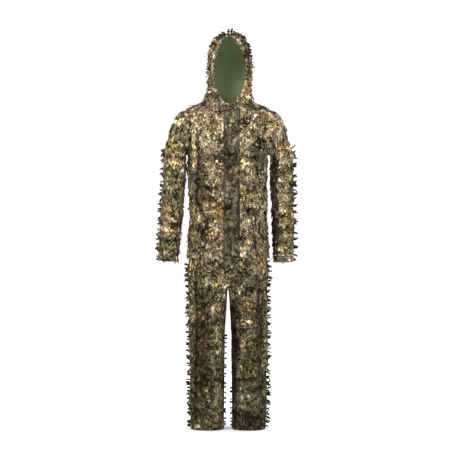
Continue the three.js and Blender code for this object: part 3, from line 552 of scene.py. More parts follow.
# ---- materials
class Wiring:
	"""Adds and joins the nodes of one material."""

	def __init__(self, name: str) -> None:
		"""Starts a material with only its output and shader."""
		self.material = bpy.data.materials.new(name)
		self.material.use_nodes = True
		self.tree = self.material.node_tree
		self.shader = self.tree.nodes["Principled BSDF"]

	def add(self, kind: str, inputs: dict = None, **settings) -> bpy.types.Node:
		"""Adds a node of a kind, sets its plain settings, and fills or links its inputs."""
		node = self.tree.nodes.new("ShaderNode" + kind)
		for key, value in settings.items():
			setattr(node, key, value)
		for key, value in (inputs or {}).items():
			self.join(value, node.inputs[key])
		return node

	def join(self, value, socket: Sockets) -> None:
		"""Links an output to a socket, or sets the socket's own value."""
		if isinstance(value, Sockets):
			self.tree.links.new(value, socket)
		else:
			socket.default_value = value

	def attribute(self, name: str, output: str) -> Sockets:
		"""Reads a stored attribute of the mesh."""
		return self.add("Attribute", attribute_name=name).outputs[output]

	def noise(
		self, vector: Sockets, scale, detail: float, rough: float = 0.5, shift: tuple = (0, 0, 0)
	) -> Sockets:
		"""Fractal noise from 0 to 1, whose scale is one number or three along X, Y and Z."""
		if isinstance(scale, tuple):
			vector, scale = self.stretched(vector, scale, shift), 1.0
		sizes = {"Vector": vector, "Scale": scale, "Detail": detail, "Roughness": rough}
		return self.add("TexNoise", sizes).outputs["Fac"]

	def stretched(self, vector: Sockets, scale: tuple, shift: tuple = (0, 0, 0)) -> Sockets:
		"""Scales and shifts places on the print."""
		places = {"Vector": vector, "Scale": scale, "Location": shift}
		return self.add("Mapping", places).outputs["Vector"]

	def vectors(self, operation: str, first: Sockets, second, socket=1) -> Sockets:
		"""Does one sum on two vectors, or on a vector and a number."""
		return self.add("VectorMath", {0: first, socket: second}, operation=operation).outputs[0]

	def warped(self, vector: Sockets, scale: float, amount: float) -> Sockets:
		"""Bends the places on the print by soft noise."""
		soft = self.noise(vector, scale, 2.0).node.outputs["Color"]
		off = self.vectors("SUBTRACT", soft, (0.5, 0.5, 0.5))
		return self.vectors("ADD", vector, self.vectors("SCALE", off, amount, "Scale"))

	def ramp(self, value: Sockets, stops: tuple, steps: bool = False) -> Sockets:
		"""Turns a value into a colour, read from stops of a place and a colour or grey."""
		node = self.add("ValToRGB", {"Fac": value})
		ramp = node.color_ramp
		ramp.interpolation = "CONSTANT" if steps else "LINEAR"
		while len(ramp.elements) < len(stops):
			ramp.elements.new(1.0)
		for element, (place, tone) in zip(ramp.elements, stops):
			element.position = place
			rgb = tone if isinstance(tone, tuple) else (tone, tone, tone)
			element.color = (*rgb, 1.0)
		return node.outputs["Color"]

	def mix(self, share, first, second, mode: str = "MIX") -> Sockets:
		"""Mixes two colours."""
		first, second = (
			(*value, 1.0) if isinstance(value, tuple) else value for value in (first, second)
		)
		inputs = {"Factor": share, 6: first, 7: second}
		return self.add("Mix", inputs, data_type="RGBA", blend_type=mode).outputs[2]

	def sum_of(self, operation: str, *values) -> Sockets:
		"""Does one sum on two or three values."""
		return self.add("Math", dict(enumerate(values)), operation=operation).outputs[0]

	def bump(self, height: Sockets, depth: float, strength: float) -> None:
		"""Raises the surface by a height map, whose full depth is in millimetres."""
		sizes = {"Strength": strength, "Distance": depth * MM, "Height": height}
		self.join(self.add("Bump", sizes).outputs["Normal"], self.shader.inputs["Normal"])

	def finish(self, colour, roughness: float, metallic: float = 0.0, sheen: float = 0.0):
		"""Sets the shader's colour and its even properties, and gives the material."""
		inputs = self.shader.inputs
		self.join((*colour, 1.0) if isinstance(colour, tuple) else colour, inputs["Base Color"])
		inputs["Roughness"].default_value = roughness
		inputs["Metallic"].default_value = metallic
		inputs["Sheen Weight"].default_value = sheen
		inputs["Specular IOR Level"].default_value = 0.12 if metallic == 0 else 0.5
		return self.material


@dataclass(frozen=True)
class WoodlandPrint:
	"""The printed foliage: bark streaks, fallen leaves, twigs and shadows between them.

	Attributes:
		bark: tones of the vertical bark streaks, dark to pale.
		leaves: tones of the printed leaves, each with the share at which it starts.
		leaf_size: how wide a printed leaf is, in metres.
		gap_level: how much of the print is dark gaps between leaves.
		weave: threads to the metre.
		calm: how far the leaves give way to bark streaks, 0 to 1.
	"""

	bark: tuple = (
		(0.30, (0.016, 0.013, 0.007)),
		(0.41, (0.055, 0.045, 0.028)),
		(0.50, (0.125, 0.106, 0.068)),
		(0.59, (0.250, 0.215, 0.150)),
		(0.70, (0.500, 0.460, 0.350)),
	)
	leaves: tuple = (
		(0.00, (0.018, 0.016, 0.008)),
		(0.16, (0.046, 0.040, 0.020)),
		(0.27, (0.082, 0.080, 0.034)),
		(0.36, (0.112, 0.074, 0.040)),
		(0.44, (0.120, 0.112, 0.076)),
		(0.52, (0.172, 0.166, 0.080)),
		(0.60, (0.245, 0.180, 0.105)),
		(0.68, (0.290, 0.275, 0.165)),
		(0.77, (0.440, 0.350, 0.275)),
		(0.87, (0.680, 0.620, 0.470)),
	)
	leaf_size: float = 0.015
	gap_level: float = 0.42
	weave: float = 1500.0
	calm: float = 0.0

	def material(self, name: str) -> bpy.types.Material:
		"""Builds the printed cloth."""
		wiring, gap = Wiring(name), self.gap_level
		place = wiring.attribute("print_co", "Vector")
		bent = wiring.warped(place, 38.0, 0.016)
		grain = wiring.noise(bent, (64.0, 64.0, 17.0), 6.0, 0.72)
		bark = wiring.ramp(grain, self.bark)
		flat = wiring.stretched(bent, (1.0, 1.0, 0.72))
		cells = wiring.add("TexVoronoi", {"Vector": flat, "Scale": 1 / self.leaf_size})
		split = wiring.add("SeparateColor", {"Color": cells.outputs["Color"]})
		wide = wiring.noise(bent, (20.0, 20.0, 27.0), 2.0, shift=(5, 2, 8))
		wide = wiring.sum_of("SUBTRACT", wiring.sum_of("MULTIPLY_ADD", wide, 2.0, 0.22), 1.0)
		chosen = wiring.sum_of("MULTIPLY_ADD", split.outputs["Red"], 0.56, wide)
		leaf = wiring.ramp(chosen, self.leaves, steps=True)
		body = wiring.ramp(cells.outputs["Distance"], ((0.0, 1.25), (0.38, 0.95), (0.62, 0.22)))
		leaf = wiring.mix(1.0, leaf, body, "MULTIPLY")
		veined = wiring.noise(bent, (330.0, 330.0, 90.0), 2.0)
		leaf = wiring.mix(0.8, leaf, wiring.ramp(veined, ((0.36, 0.45), (0.62, 1.45))), "MULTIPLY")
		shown = wiring.sum_of("ADD", split.outputs["Green"], wiring.noise(place, 9.0, 2.0))
		covered = wiring.ramp(shown, ((0.72 + self.calm, 0.0), (0.80 + self.calm, 1.0)))
		colour = wiring.mix(covered, bark, leaf)
		holes = wiring.noise(bent, (95.0, 95.0, 62.0), 3.0, 0.6, (3, 1, 7))
		dark = wiring.ramp(holes, ((gap - 0.05 - 0.08 * self.calm, 0.13), (gap + 0.03, 1.0)))
		colour = wiring.mix(1.0, colour, dark, "MULTIPLY")
		line = wiring.noise(bent, (26.0, 26.0, 34.0), 2.0, 0.55, (9, 4, 2))
		twig = wiring.ramp(line, ((0.488, 0.0), (0.497, 1.0), (0.503, 1.0), (0.512, 0.0)))
		colour = wiring.mix(wiring.sum_of("MULTIPLY", twig, 0.62), colour, (0.55, 0.50, 0.38))
		dots = wiring.ramp(wiring.noise(place, 420.0, 1.0), ((0.34, 0.55), (0.66, 1.5)))
		colour = wiring.mix(0.55, colour, dots, "MULTIPLY")
		colour = wiring.mix(1.0, colour, wiring.attribute("dye", "Color"), "MULTIPLY")
		threads = wiring.noise(place, (self.weave,) * 3, 2.0, 0.6)
		wiring.bump(wiring.sum_of("ADD", threads, wiring.sum_of("MULTIPLY", grain, 2.0)), 0.35, 0.55)
		return wiring.finish(colour, 0.9)


@dataclass(frozen=True)
class PlainCloth:
	"""A plain dyed cloth with its knit or weave.

	Attributes:
		tone: its colour.
		threads: how fine its weave is, to the metre along X, Y and Z.
		variation: how unevenly it took the dye.
		depth: how deep its weave is, in millimetres.
	"""

	tone: tuple
	threads: tuple = (900.0, 900.0, 900.0)
	variation: float = 0.16
	depth: float = 0.25

	def material(self, name: str) -> bpy.types.Material:
		"""Builds the cloth's material."""
		wiring = Wiring(name)
		place = wiring.add("TexCoord").outputs["Object"]
		knit = wiring.noise(place, self.threads, 2.0, 0.6)
		worn = wiring.noise(place, 14.0, 3.0, 0.55)
		low, high = 1 - self.variation, 1 + self.variation
		tone = wiring.mix(1.0, self.tone, wiring.ramp(worn, ((0.3, low), (0.7, high))), "MULTIPLY")
		tone = wiring.mix(0.5, tone, wiring.ramp(knit, ((0.3, 0.75), (0.7, 1.2))), "MULTIPLY")
		wiring.bump(knit, self.depth, 0.5)
		return wiring.finish(tone, 0.9, sheen=0.1)


@dataclass(frozen=True)
class Moulded:
	"""A moulded or lacquered zip part.

	Attributes:
		tone: its colour.
		worn: the colour its edges wear to.
		roughness: how matt it is.
		metallic: 1 for bare or lacquered metal.
	"""

	tone: tuple
	worn: tuple
	roughness: float = 0.45
	metallic: float = 0.0

	def material(self, name: str) -> bpy.types.Material:
		"""Builds the part's material, paler where it has rubbed."""
		wiring = Wiring(name)
		place = wiring.add("TexCoord").outputs["Object"]
		scuffs = wiring.noise(place, 900.0, 4.0, 0.65)
		shared = wiring.ramp(scuffs, ((0.50, 0.0), (0.68, 1.0)))
		tone = wiring.mix(shared, self.tone, self.worn)
		wiring.bump(scuffs, 0.08, 0.35)
		return wiring.finish(tone, self.roughness, self.metallic)


# ---- dye
class Tone(Enum):
	"""How a patch of the print differs from the roll's own colours. The SHADOW tone is mostly printed dark, and in
	places painted shade.
	"""

	# printed dark, and in places painted shade on the sleeves' inner sides and beside the armpits
	SHADOW = (0.22, 0.20, 0.18)
	TRUNK = (0.34, 0.27, 0.20)
	BARK = (0.60, 0.51, 0.43)
	OLIVE = (0.82, 0.90, 0.52)
	GREEN = (0.74, 0.90, 0.58)
	GREY = (0.98, 1.02, 1.08)
	PALE = (1.85, 1.80, 1.66)
	PALE_GREEN = (1.36, 1.46, 1.08)
	YELLOW = (1.36, 1.34, 0.74)
	ORANGE = (1.42, 1.12, 0.78)
	PINK = (1.85, 1.55, 1.46)


@dataclass(frozen=True)
class Patch:
	"""A patch of the print that has its own tone, or, for some SHADOW patches, painted shade.

	Attributes:
		tone: its tone.
		x, z: its middle, to the wearer's left and its height.
		wide, high: half its width and height.
		share: how strongly it shows.
	"""

	tone: Tone
	x: float
	z: float
	wide: float
	high: float
	share: float = 0.8


# for each tone, patches: x, z, wide, high and share
PATCHES = {
	Tone.PALE_GREEN: (
		(-66, 1650, 26, 44, 0.4), (-144, 940, 22, 34, 0.8), (-150, 844, 24, 26, 0.7),
		(-252, 1074, 18, 22, 0.7), (84, 384, 34, 44, 0.6),
	),
	# painted shade among these: (202, 1080) and (204, 860) on the inner side of the wearer's left sleeve, and (-176,
	# 1215) in the gap at the wearer's right armpit
	Tone.SHADOW: (
		(-62, 1590, 26, 130, 0.35), (84, 1610, 26, 70, 0.5), (0, 1728, 90, 26, 0.6),
		(-96, 1415, 24, 22, 0.75), (100, 1412, 24, 24, 0.75), (-138, 1210, 6, 80, 0.7),
		(-176, 1215, 9, 80, 0.8), (150, 1190, 9, 90, 0.6), (-84, 1006, 50, 8, 0.8),
		(-70, 1190, 46, 8, 0.6), (70, 1075, 44, 8, 0.7), (-120, 872, 20, 26, 0.9),
		(110, 830, 60, 40, 0.5), (-246, 905, 40, 7, 0.9), (202, 1080, 20, 190, 0.9),
		(204, 860, 24, 120, 0.8), (-140, 420, 5, 300, 0.7), (22, 340, 24, 300, 0.9),
		(146, 400, 5, 260, 0.8), (80, 224, 50, 7, 0.8), (90, 40, 80, 50, 0.5),
	),
	Tone.GREY: (
		(-76, 1530, 24, 36, 0.9), (-128, 1296, 34, 30, 0.6), (-44, 280, 26, 70, 0.5),
		(84, 624, 30, 40, 0.8), (74, 150, 36, 50, 0.6),
	),
	Tone.PALE: (
		(-70, 1480, 24, 26, 0.2), (-72, 1432, 20, 26, 0.5), (74, 1360, 34, 34, 0.6),
		(96, 1280, 50, 30, 0.5), (-110, 1230, 24, 50, 0.6), (-154, 1215, 9, 80, 0.9),
		(76, 1120, 30, 30, 0.6), (86, 895, 24, 22, 0.5), (-92, 780, 10, 40, 0.5),
		(80, 462, 30, 22, 0.7), (138, 118, 20, 28, 0.7),
	),
	Tone.ORANGE: (
		(90, 1500, 26, 58, 0.8), (-36, 946, 34, 40, 0.9), (148, 736, 30, 36, 0.9),
		(-168, 712, 24, 50, 0.7), (-258, 956, 24, 44, 0.7), (250, 1226, 26, 36, 0.95),
		(266, 905, 22, 60, 0.7), (-166, 128, 22, 26, 0.7), (92, 534, 34, 34, 0.8),
	),
	Tone.YELLOW: (
		(74, 1425, 26, 26, 0.6), (190, 1322, 26, 30, 0.6), (62, 1180, 14, 50, 0.6),
		(80, 1030, 28, 34, 0.9), (-238, 1244, 18, 34, 0.95), (258, 1110, 22, 40, 0.5),
		(-46, 640, 24, 40, 0.7), (-160, 560, 20, 70, 0.4), (90, 258, 28, 26, 0.95),
	),
	Tone.PINK: (
		(-140, 1396, 46, 20, 0.9), (-66, 1340, 60, 44, 0.75), (150, 1368, 40, 34, 0.7),
		(-50, 1130, 30, 44, 0.4), (-70, 985, 46, 14, 0.5), (-62, 858, 46, 22, 0.5),
		(-232, 1180, 30, 24, 0.7), (-252, 880, 34, 20, 0.95), (-44, 536, 24, 34, 0.5),
	),
	Tone.GREEN: (
		(-196, 1362, 24, 34, 0.6), (-242, 1116, 26, 30, 0.8), (-262, 812, 30, 34, 0.9),
		(252, 800, 30, 30, 0.8), (-150, 50, 34, 44, 0.8), (162, 380, 14, 280, 0.5),
	),
	Tone.TRUNK: ((-116, 1090, 18, 110, 0.7), (-110, 330, 26, 330, 0.95)),
	Tone.BARK: ((-96, 1006, 44, 30, 0.6),),
	Tone.OLIVE: ((-101, 204, 26, 40, 0.8),),
}


@dataclass(frozen=True)
class Streak:
	"""A streak of the print: a trunk's edge, a branch or the shadow under one. Some SHADOW streaks are painted shade
	between the trunk and a sleeve.

	Attributes:
		tone: its tone.
		path: places along it, each to the wearer's left and its height.
		wide: half its width.
		share: how strongly it shows.
	"""

	tone: Tone
	path: tuple
	wide: float = 7.0
	share: float = 0.85

	def weight(self, x: Array, z: Array) -> Array:
		"""How strongly the streak shows at each place."""
		nearest = np.full(x.shape, 1e6)
		for (x0, z0), (x1, z1) in zip(self.path, self.path[1:]):
			run_x, run_z = x1 - x0, z1 - z0
			along = ((x - x0) * run_x + (z - z0) * run_z) / (run_x**2 + run_z**2)
			along = np.clip(along, 0, 1)
			nearest = np.minimum(nearest, np.hypot(x - x0 - along * run_x, z - z0 - along * run_z))
		return self.share * np.exp(-((nearest / self.wide) ** 3))


# for each tone, streaks: path, wide and share
STREAKS = {
	# painted shade among these: the upright streaks at x -165 and -185, along the trunk's side next to the wearer's right
	# sleeve
	Tone.SHADOW: (
		(
			((-130, 1250), (-127, 1170), (-136, 1065), (-131, 1003), (-110, 942), (-88, 906),
			 (-110, 854), (-106, 800)),
			8,
		),
		(((-130, 1176), (-92, 1186), (-50, 1178)), 7, 0.7),
		(((-124, 1066), (-70, 1052), (-22, 1062)), 7),
		(((-112, 972), (-70, 962), (-30, 980)), 6, 0.7),
		(((-165, 1340), (-163, 1220), (-168, 1120)), 6, 0.7),
		(((-185, 1300), (-182, 1150)), 10, 0.8),
		(((104, 1310), (128, 1210), (126, 1120), (112, 1040)), 7, 0.8),
		(((64, 1190), (100, 1178), (128, 1196)), 6, 0.7),
		(((66, 1072), (112, 1060), (150, 1074)), 7, 0.8),
		(((62, 972), (96, 960), (140, 966)), 7, 0.7),
		(((120, 960), (112, 860), (124, 770)), 8, 0.7), (((-268, 1190), (-172, 1188)), 8, 0.85),
		(((-304, 895), (-202, 893)), 7, 0.9), (((-302, 828), (-206, 830)), 6, 0.8),
		(((206, 1196), (280, 1190)), 6, 0.6), (((212, 1040), (284, 1034)), 7, 0.8),
		(((-139, 690), (-136, 420), (-141, 60)), 6, 0.85),
		(((-80, 660), (-84, 420), (-76, 150)), 6, 0.6),
		(((-168, 560), (-60, 552), (-14, 556)), 5, 0.7), (((-168, 236), (-100, 228)), 6, 0.6),
		(((132, 660), (128, 420), (134, 250)), 8, 0.85), (((30, 674), (124, 668)), 6, 0.8),
		(((30, 566), (118, 560)), 5, 0.6), (((30, 226), (80, 220), (126, 228)), 7, 0.9),
	),
	Tone.PALE: (
		(((-104, 955), (-60, 946), (-30, 960)), 6, 0.5), (((-110, 790), (-112, 704)), 6, 0.7),
		(((-150, 1350), (-147, 1223)), 9, 0.7), (((66, 1166), (104, 1156), (150, 1170)), 8, 0.5),
		(((140, 1040), (150, 930)), 8, 0.5), (((-262, 1166), (-192, 1162)), 7, 0.7),
		(((-302, 872), (-206, 868)), 9, 0.9), (((200, 1226), (276, 1222)), 8, 0.7),
		(((224, 1016), (284, 1010)), 7, 0.5), (((-84, 476), (-18, 474)), 5, 0.8),
		(((-38, 440), (-44, 250), (-34, 110)), 16, 0.35), (((48, 470), (108, 474)), 7, 0.7),
	),
	Tone.PINK: (
		(((-100, 850), (-60, 858), (-22, 848)), 8, 0.8), (((-262, 1212), (-184, 1206)), 8, 0.7),
		(((-302, 848), (-206, 845)), 7, 0.7),
	),
	Tone.GREY: ((((150, 160), (128, 60)), 20, 0.7),),
}


def toned(kind: type, table: dict) -> tuple:
	"""Makes patches or streaks of a kind from a table of their sizes by tone."""
	return tuple(kind(tone, *sizes) for tone, rows in table.items() for sizes in rows)


@dataclass(frozen=True)
class Dyer:
	"""Colours the cloth: patches of the print, some of them painted shade, and how much darker it is lower down.

	Attributes:
		patches: the print's patches, some of them painted shade.
		streaks: the print's streaks, which show on the front, some of them painted shade.
		heights: how bright the cloth is at each height, darker lower down.
		left_share: how much darker the wearer's left trouser leg is.
		gain: how far a patch's own share is strengthened, up to all of it.
	"""

	patches: tuple = toned(Patch, PATCHES)
	streaks: tuple = toned(Streak, STREAKS)
	heights: tuple = ((0, 0.62), (250, 0.76), (600, 1.08), (850, 1.18), (1100, 1.42), (1400, 1.62))
	left_share: float = 0.82
	gain: float = 1.15

	def cloth(self, points: Array) -> Array:
		"""The dye's strength in red, green and blue at each point.

		Args:
			points: places in millimetres, three numbers each.

		Returns:
			Three numbers for each point.
		"""
		x, z = points[..., 0], points[..., 2]
		strength = eased(self.heights, z)
		below = 1 / (1 + np.exp((z - 740) / 30)) / (1 + np.exp(-x / 12))
		strength = strength * (1 + (self.left_share - 1) * below)
		strength = strength * (1.05 + 0.42 * smooth_noise(points, (62, 62, 84), SEED + 3))
		ring = smooth_noise(points, (96, 96, 62), SEED + 4)
		strength = strength * (1 - 0.55 * np.exp(-((ring / 0.06) ** 2)))
		warm = np.interp(z, [0, 700, 1500], [0.84, 0.88, 0.96])
		dye = strength[..., None] * np.stack([1.05 + 0 * warm, 0.99 + 0 * warm, warm], -1)
		wander = np.stack([smooth_noise(points, (26, 26, 26), SEED + k) for k in (1, 2)], -1)
		for patch in self.patches:
			off_x = (x - patch.x + 9 * wander[..., 0]) / patch.wide
			off_z = (z - patch.z + 12 * wander[..., 1]) / patch.high
			weight = min(1.0, self.gain * patch.share) * np.exp(-((off_x**2 + off_z**2) ** 2))
			dye = dye * (1 + (np.array(patch.tone.value) - 1) * weight[..., None])
		x, z = x + 5 * wander[..., 0], z + 6 * wander[..., 1]
		for streak in self.streaks:
			weight = streak.weight(x, z)
			dye = dye * (1 + (np.array(streak.tone.value) - 1) * weight[..., None])
		return dye


# ---- leaves
class LeafShape(Enum):
	"""Outlines of the cut leaves: places along the midrib and the edge, and the half width."""

	OAK = (
		(0, 0, 0.08), (0.12, 0.10, 0.20), (0.26, 0.36, 0.80), (0.40, 0.40, 0.34),
		(0.52, 0.66, 1.0), (0.68, 0.70, 0.40), (0.84, 0.90, 0.50), (1, 1, 0.03),
	)
	HOLLY = (
		(0, 0, 0.10), (0.10, 0.20, 0.62), (0.22, 0.24, 0.30), (0.38, 0.50, 0.95),
		(0.50, 0.54, 0.42), (0.66, 0.80, 0.72), (0.80, 0.84, 0.28), (1, 1, 0.02),
	)
	LANCE = (
		(0, 0, 0.10), (0.15, 0.15, 0.55), (0.32, 0.34, 0.92), (0.48, 0.48, 1.0),
		(0.62, 0.62, 0.85), (0.76, 0.76, 0.58), (0.88, 0.88, 0.30), (1, 1, 0.02),
	)
	MAPLE = (
		(0, 0, 0.08), (0.12, 0.00, 0.62), (0.26, 0.24, 0.36), (0.40, 0.56, 1.0),
		(0.56, 0.54, 0.40), (0.72, 0.84, 0.56), (0.86, 0.84, 0.20), (1, 1, 0.02),
	)


LEAF_TONES = (
	# share, red, green, blue
	(0.10, 0.58, 0.57, 0.52),
	(0.24, 0.82, 0.82, 0.78),
	(0.36, 1.00, 1.00, 1.00),
	(0.09, 1.18, 1.03, 0.86),
	(0.08, 0.98, 1.08, 0.82),
	(0.11, 1.30, 1.27, 1.22),
	(0.04, 1.65, 1.60, 1.50),
)


@dataclass
class LeafRow:
	"""Cut leaves gathered for one piece, ready to be sewn on.

	Attributes:
		dyer: what colours them.
		stream: the random draws, which repeat each time.
		thickness: how thick the cut cloth is, in millimetres.
		shift: how far the print on a leaf may lie from the print behind it.
		sewn: the leaves so far: base, axis, up, size, dark and pointed.
	"""

	dyer: Dyer
	stream: np.random.Generator
	thickness: float = 0.7
	shift: float = 14.0
	sewn: list = field(default_factory=list)

	def sew(self, base, axis, up, size, dark: float = 1.0, pointed: bool = False) -> None:
		"""Adds leaves.

		Args:
			base: where each leaf is sewn, leaves by three.
			axis: which way each leaf points.
			up: which way its printed face looks.
			size: each leaf's length and width.
			dark: how strong these leaves' dye is.
			pointed: whether only the pointed shapes are used.
		"""
		alike = np.full(len(base), dark), np.full(len(base), pointed)
		self.sewn.append((base, unit(axis), unit(up), size, *alike))

	def count(self) -> int:
		"""How many leaves are gathered."""
		return sum(len(leaves[0]) for leaves in self.sewn)

	def build(self, name: str) -> Piece:
		"""Cuts all the gathered leaves as one mesh piece.

		Args:
			name: the piece's name.

		Returns:
			The new piece.
		"""
		base, axis, up, size, dark, pointed = (np.concatenate(part) for part in zip(*self.sewn))
		count, draw = len(base), self.stream
		side = unit(np.cross(up, axis))
		up = unit(np.cross(axis, side))
		shapes = np.array([shape.value for shape in LeafShape])
		pick = draw.integers(0, len(shapes), count)
		cut = shapes[np.where(pointed, 1 + pick % 2, pick)]
		mid, edge, half = cut[..., 0], cut[..., 1], cut[..., 2]
		length, wide = size[:, :1], half * (size[:, 1:2] / 2)
		cup = draw.uniform(-0.5, 0.75, (count, 1))
		droop = draw.uniform(-0.10, 0.30, (count, 1))
		skew = draw.uniform(-0.16, 0.16, (count, 1))
		share = np.concatenate([mid, edge, edge], axis=1)
		along, bend = share * length, skew * share**2 * length
		uneven = draw.uniform(0.82, 1.12, (count, 2))
		across = np.concatenate([0 * mid, wide * uneven[:, :1], -wide * uneven[:, 1:]], axis=1)
		rise = cup * np.abs(across) * 0.7 - droop * along**2 / length
		front = base[:, None] + along[..., None] * axis[:, None]
		front = front + (across + bend)[..., None] * side[:, None] + rise[..., None] * up[:, None]
		points = np.concatenate([front, front - self.thickness * up[:, None]], axis=1)
		per_leaf = points.shape[1] * np.arange(count)[:, None, None]
		faces = (self.faces(cut.shape[1])[None] + per_leaf).reshape(-1, 4)
		piece = new_piece(name, points.reshape(-1, 3), faces)
		shift = draw.uniform(-self.shift, self.shift, (count, 1, 3))
		tones = np.array(LEAF_TONES)
		pick = draw.choice(len(tones), count, p=tones[:, 0] / tones[:, 0].sum())
		tone = tones[pick, 1:] * dark[:, None] * draw.uniform(0.85, 1.15, (count, 1))
		# each leaf is darker at its base and lighter at its tip: painted shade where it is sewn down
		dye = tone[:, None] * (0.74 + 0.42 * share)[..., None] * self.dyer.cloth(front)
		dye = np.concatenate([dye, dye], axis=1)
		colour_in(piece, (points + shift).reshape(-1, 3), dye.reshape(-1, 3))
		return piece

	@staticmethod
	def faces(points: int) -> Array:
		"""Lists the faces of one leaf, whose midrib and each edge hold that many points."""
		i = np.arange(points - 1)
		mid, left, right = i, i + points, i + 2 * points
		lobes = [mid, mid + 1, left + 1, left], [mid, right, right + 1, mid + 1]
		front = np.concatenate([np.stack(lobe, -1) for lobe in lobes])
		back = front[:, ::-1] + 3 * points
		left_edge, right_edge = np.split(np.arange(points, 3 * points), 2)
		ring = np.concatenate([left_edge, [points - 1], right_edge[::-1], [0]])
		following = np.roll(ring, -1)
		rim = np.stack([ring, following, following + 3 * points, ring + 3 * points], -1)
		return np.concatenate([front, back, rim])


@dataclass(frozen=True)
class Sewing:
	"""How leaves are sewn over a cloth.

	Attributes:
		row_pitch, pitch: from one row of leaves to the next, and from leaf to leaf along it.
		length, width: least and most.
		lift: least and most that a leaf stands off the cloth, in degrees.
		yaw: how far a leaf may turn from hanging straight, in degrees.
	"""

	row_pitch: float = 18.0
	pitch: float = 15.0
	length: tuple = (20.0, 33.0)
	width: tuple = (10.0, 17.0)
	lift: tuple = (2.0, 12.0)
	yaw: float = 60.0

	def spots(self, cloth: Cloth, stream: np.random.Generator) -> tuple:
		"""Chooses where leaves are sewn.

		Args:
			cloth: the surface, whose rows run from top to bottom.
			stream: the random draws.

		Returns:
			The base, the outward direction and the downward direction of each leaf.
		"""
		points, normals = cloth.points, cloth.normals
		if cloth.closed:
			points, normals = (np.concatenate([p, p[:, :1]], axis=1) for p in (points, normals))
		down = np.gradient(points, axis=0)
		drop = np.linalg.norm(np.diff(points, axis=0), axis=2).mean(1).cumsum()
		rows = np.arange(self.row_pitch * 0.4, drop[-1], self.row_pitch)
		found = []
		for count, at in enumerate(rows):
			row = min(int(np.searchsorted(drop, at)), len(points) - 2)
			run = run_of(points[row])
			places = np.arange(self.pitch * (0.25 + 0.5 * (count % 2)), run[-1], self.pitch)
			places = places + stream.uniform(-0.35, 0.35, len(places)) * self.pitch
			column = np.interp(places, run, np.arange(len(run)))
			left = np.clip(column.astype(int), 0, len(run) - 2)
			share = (column - left)[:, None]
			slip = stream.uniform(-0.4, 0.4, (len(places), 1)) * self.row_pitch
			step = unit(down[row, left])
			base, normal = (
				part[row, left] * (1 - share) + part[row, left + 1] * share
				for part in (points, normals)
			)
			found.append((base + step * slip, normal, step))
		return tuple(np.concatenate(part) for part in zip(*found))

	def cover(self, row: LeafRow, cloth: Cloth, allowed=None, lift_share: float = 1.0) -> None:
		"""Sews leaves all over a cloth.

		Args:
			row: where the leaves are gathered.
			cloth: the surface, whose rows run from top to bottom.
			allowed: says which base points may carry a leaf, or None for all.
			lift_share: how much of their lift the leaves keep.
		"""
		draw = row.stream
		base, normal, down = self.spots(cloth, draw)
		if allowed is not None:
			kept = allowed(base)
			base, normal, down = base[kept], normal[kept], down[kept]
		normal = unit(normal)
		across = unit(np.cross(normal, down))
		yaw = np.radians(draw.uniform(-self.yaw, self.yaw, (len(base), 1)))
		lift = np.radians(draw.uniform(*self.lift, (len(base), 1))) * lift_share
		flat = down * np.cos(yaw) + across * np.sin(yaw)
		axis = flat * np.cos(lift) + normal * np.sin(lift)
		up = normal * np.cos(lift) - flat * np.sin(lift)
		up = up + across * draw.uniform(-0.25, 0.25, (len(base), 1))
		size = [draw.uniform(*sizes, len(base)) for sizes in (self.length, self.width)]
		row.sew(base + 1.2 * normal, axis, up, np.stack(size, -1))


def fringe(
	row: LeafRow,
	line: Array,
	outward: Array,
	pitch: float,
	reach: tuple,
	dark: float = 0.45,
	turn: float = 0.75,
) -> None:
	"""Sews a strip of leaves that stand out edge-on along a line.

	Args:
		row: where the leaves are gathered.
		line: points along the strip.
		outward: the way the leaves stand out at each of those points.
		pitch: from one leaf to the next.
		reach: shortest and longest leaf.
		dark: how strong the dye is.
		turn: how far the leaves may lean along the line.
	"""
	draw = row.stream
	run = run_of(line)
	places = np.arange(pitch * 0.3, run[-1], pitch)
	places = np.clip(places + draw.uniform(-0.4, 0.4, len(places)) * pitch, 0, run[-1])
	base, out = read_at(places, run, line), unit(read_at(places, run, outward))
	along = unit(np.gradient(base, axis=0))
	lean = draw.uniform(-turn, turn, (len(base), 1))
	axis = unit(out + lean * along)
	face = unit(np.cross(axis, along))
	up = unit(face + draw.uniform(-0.6, 0.6, (len(base), 1)) * along)
	size = np.stack([draw.uniform(*sizes, len(base)) for sizes in (reach, (9.0, 15.0))], -1)
	row.sew(base - 1.0 * out, axis, up, size, dark, pointed=True)


# ---- stitches
def stitches(name: str, line: Array, normal: Array, pitch: float = 4.6) -> Piece:
	"""Makes a row of machine stitches along a line.

	Args:
		name: the piece's name.
		line: points along the row.
		normal: the outward direction at each of them.
		pitch: from one stitch to the next.

	Returns:
		The new piece.
	"""
	thread, length, rounds = 0.34, 0.36 * pitch, 6
	run = run_of(line)
	places = np.arange(pitch, run[-1] - pitch / 2, pitch)
	base, ahead = read_at(places, run, line), read_at(places + 1, run, line)
	up = unit(read_at(places, run, normal))
	along = unit(ahead - base)
	side = unit(np.cross(up, along))
	sections = ((-1.0, 0.35, -0.5), (-0.7, 1.0, 0.1), (0.0, 1.0, 0.4), (0.7, 1.0, 0.1))
	points = []
	for place, fat, high in (*sections, (1.0, 0.35, -0.5)):
		middle = base + along * length * place + up * (0.25 + thread * high)
		for angle in 2 * math.pi * np.arange(rounds) / rounds:
			offset = side * math.cos(angle) + up * math.sin(angle)
			points.append(middle + offset * thread * fat)
	return small_parts(name, points, rounds, ((0, 5, 4, 1), (1, 4, 3, 2)))


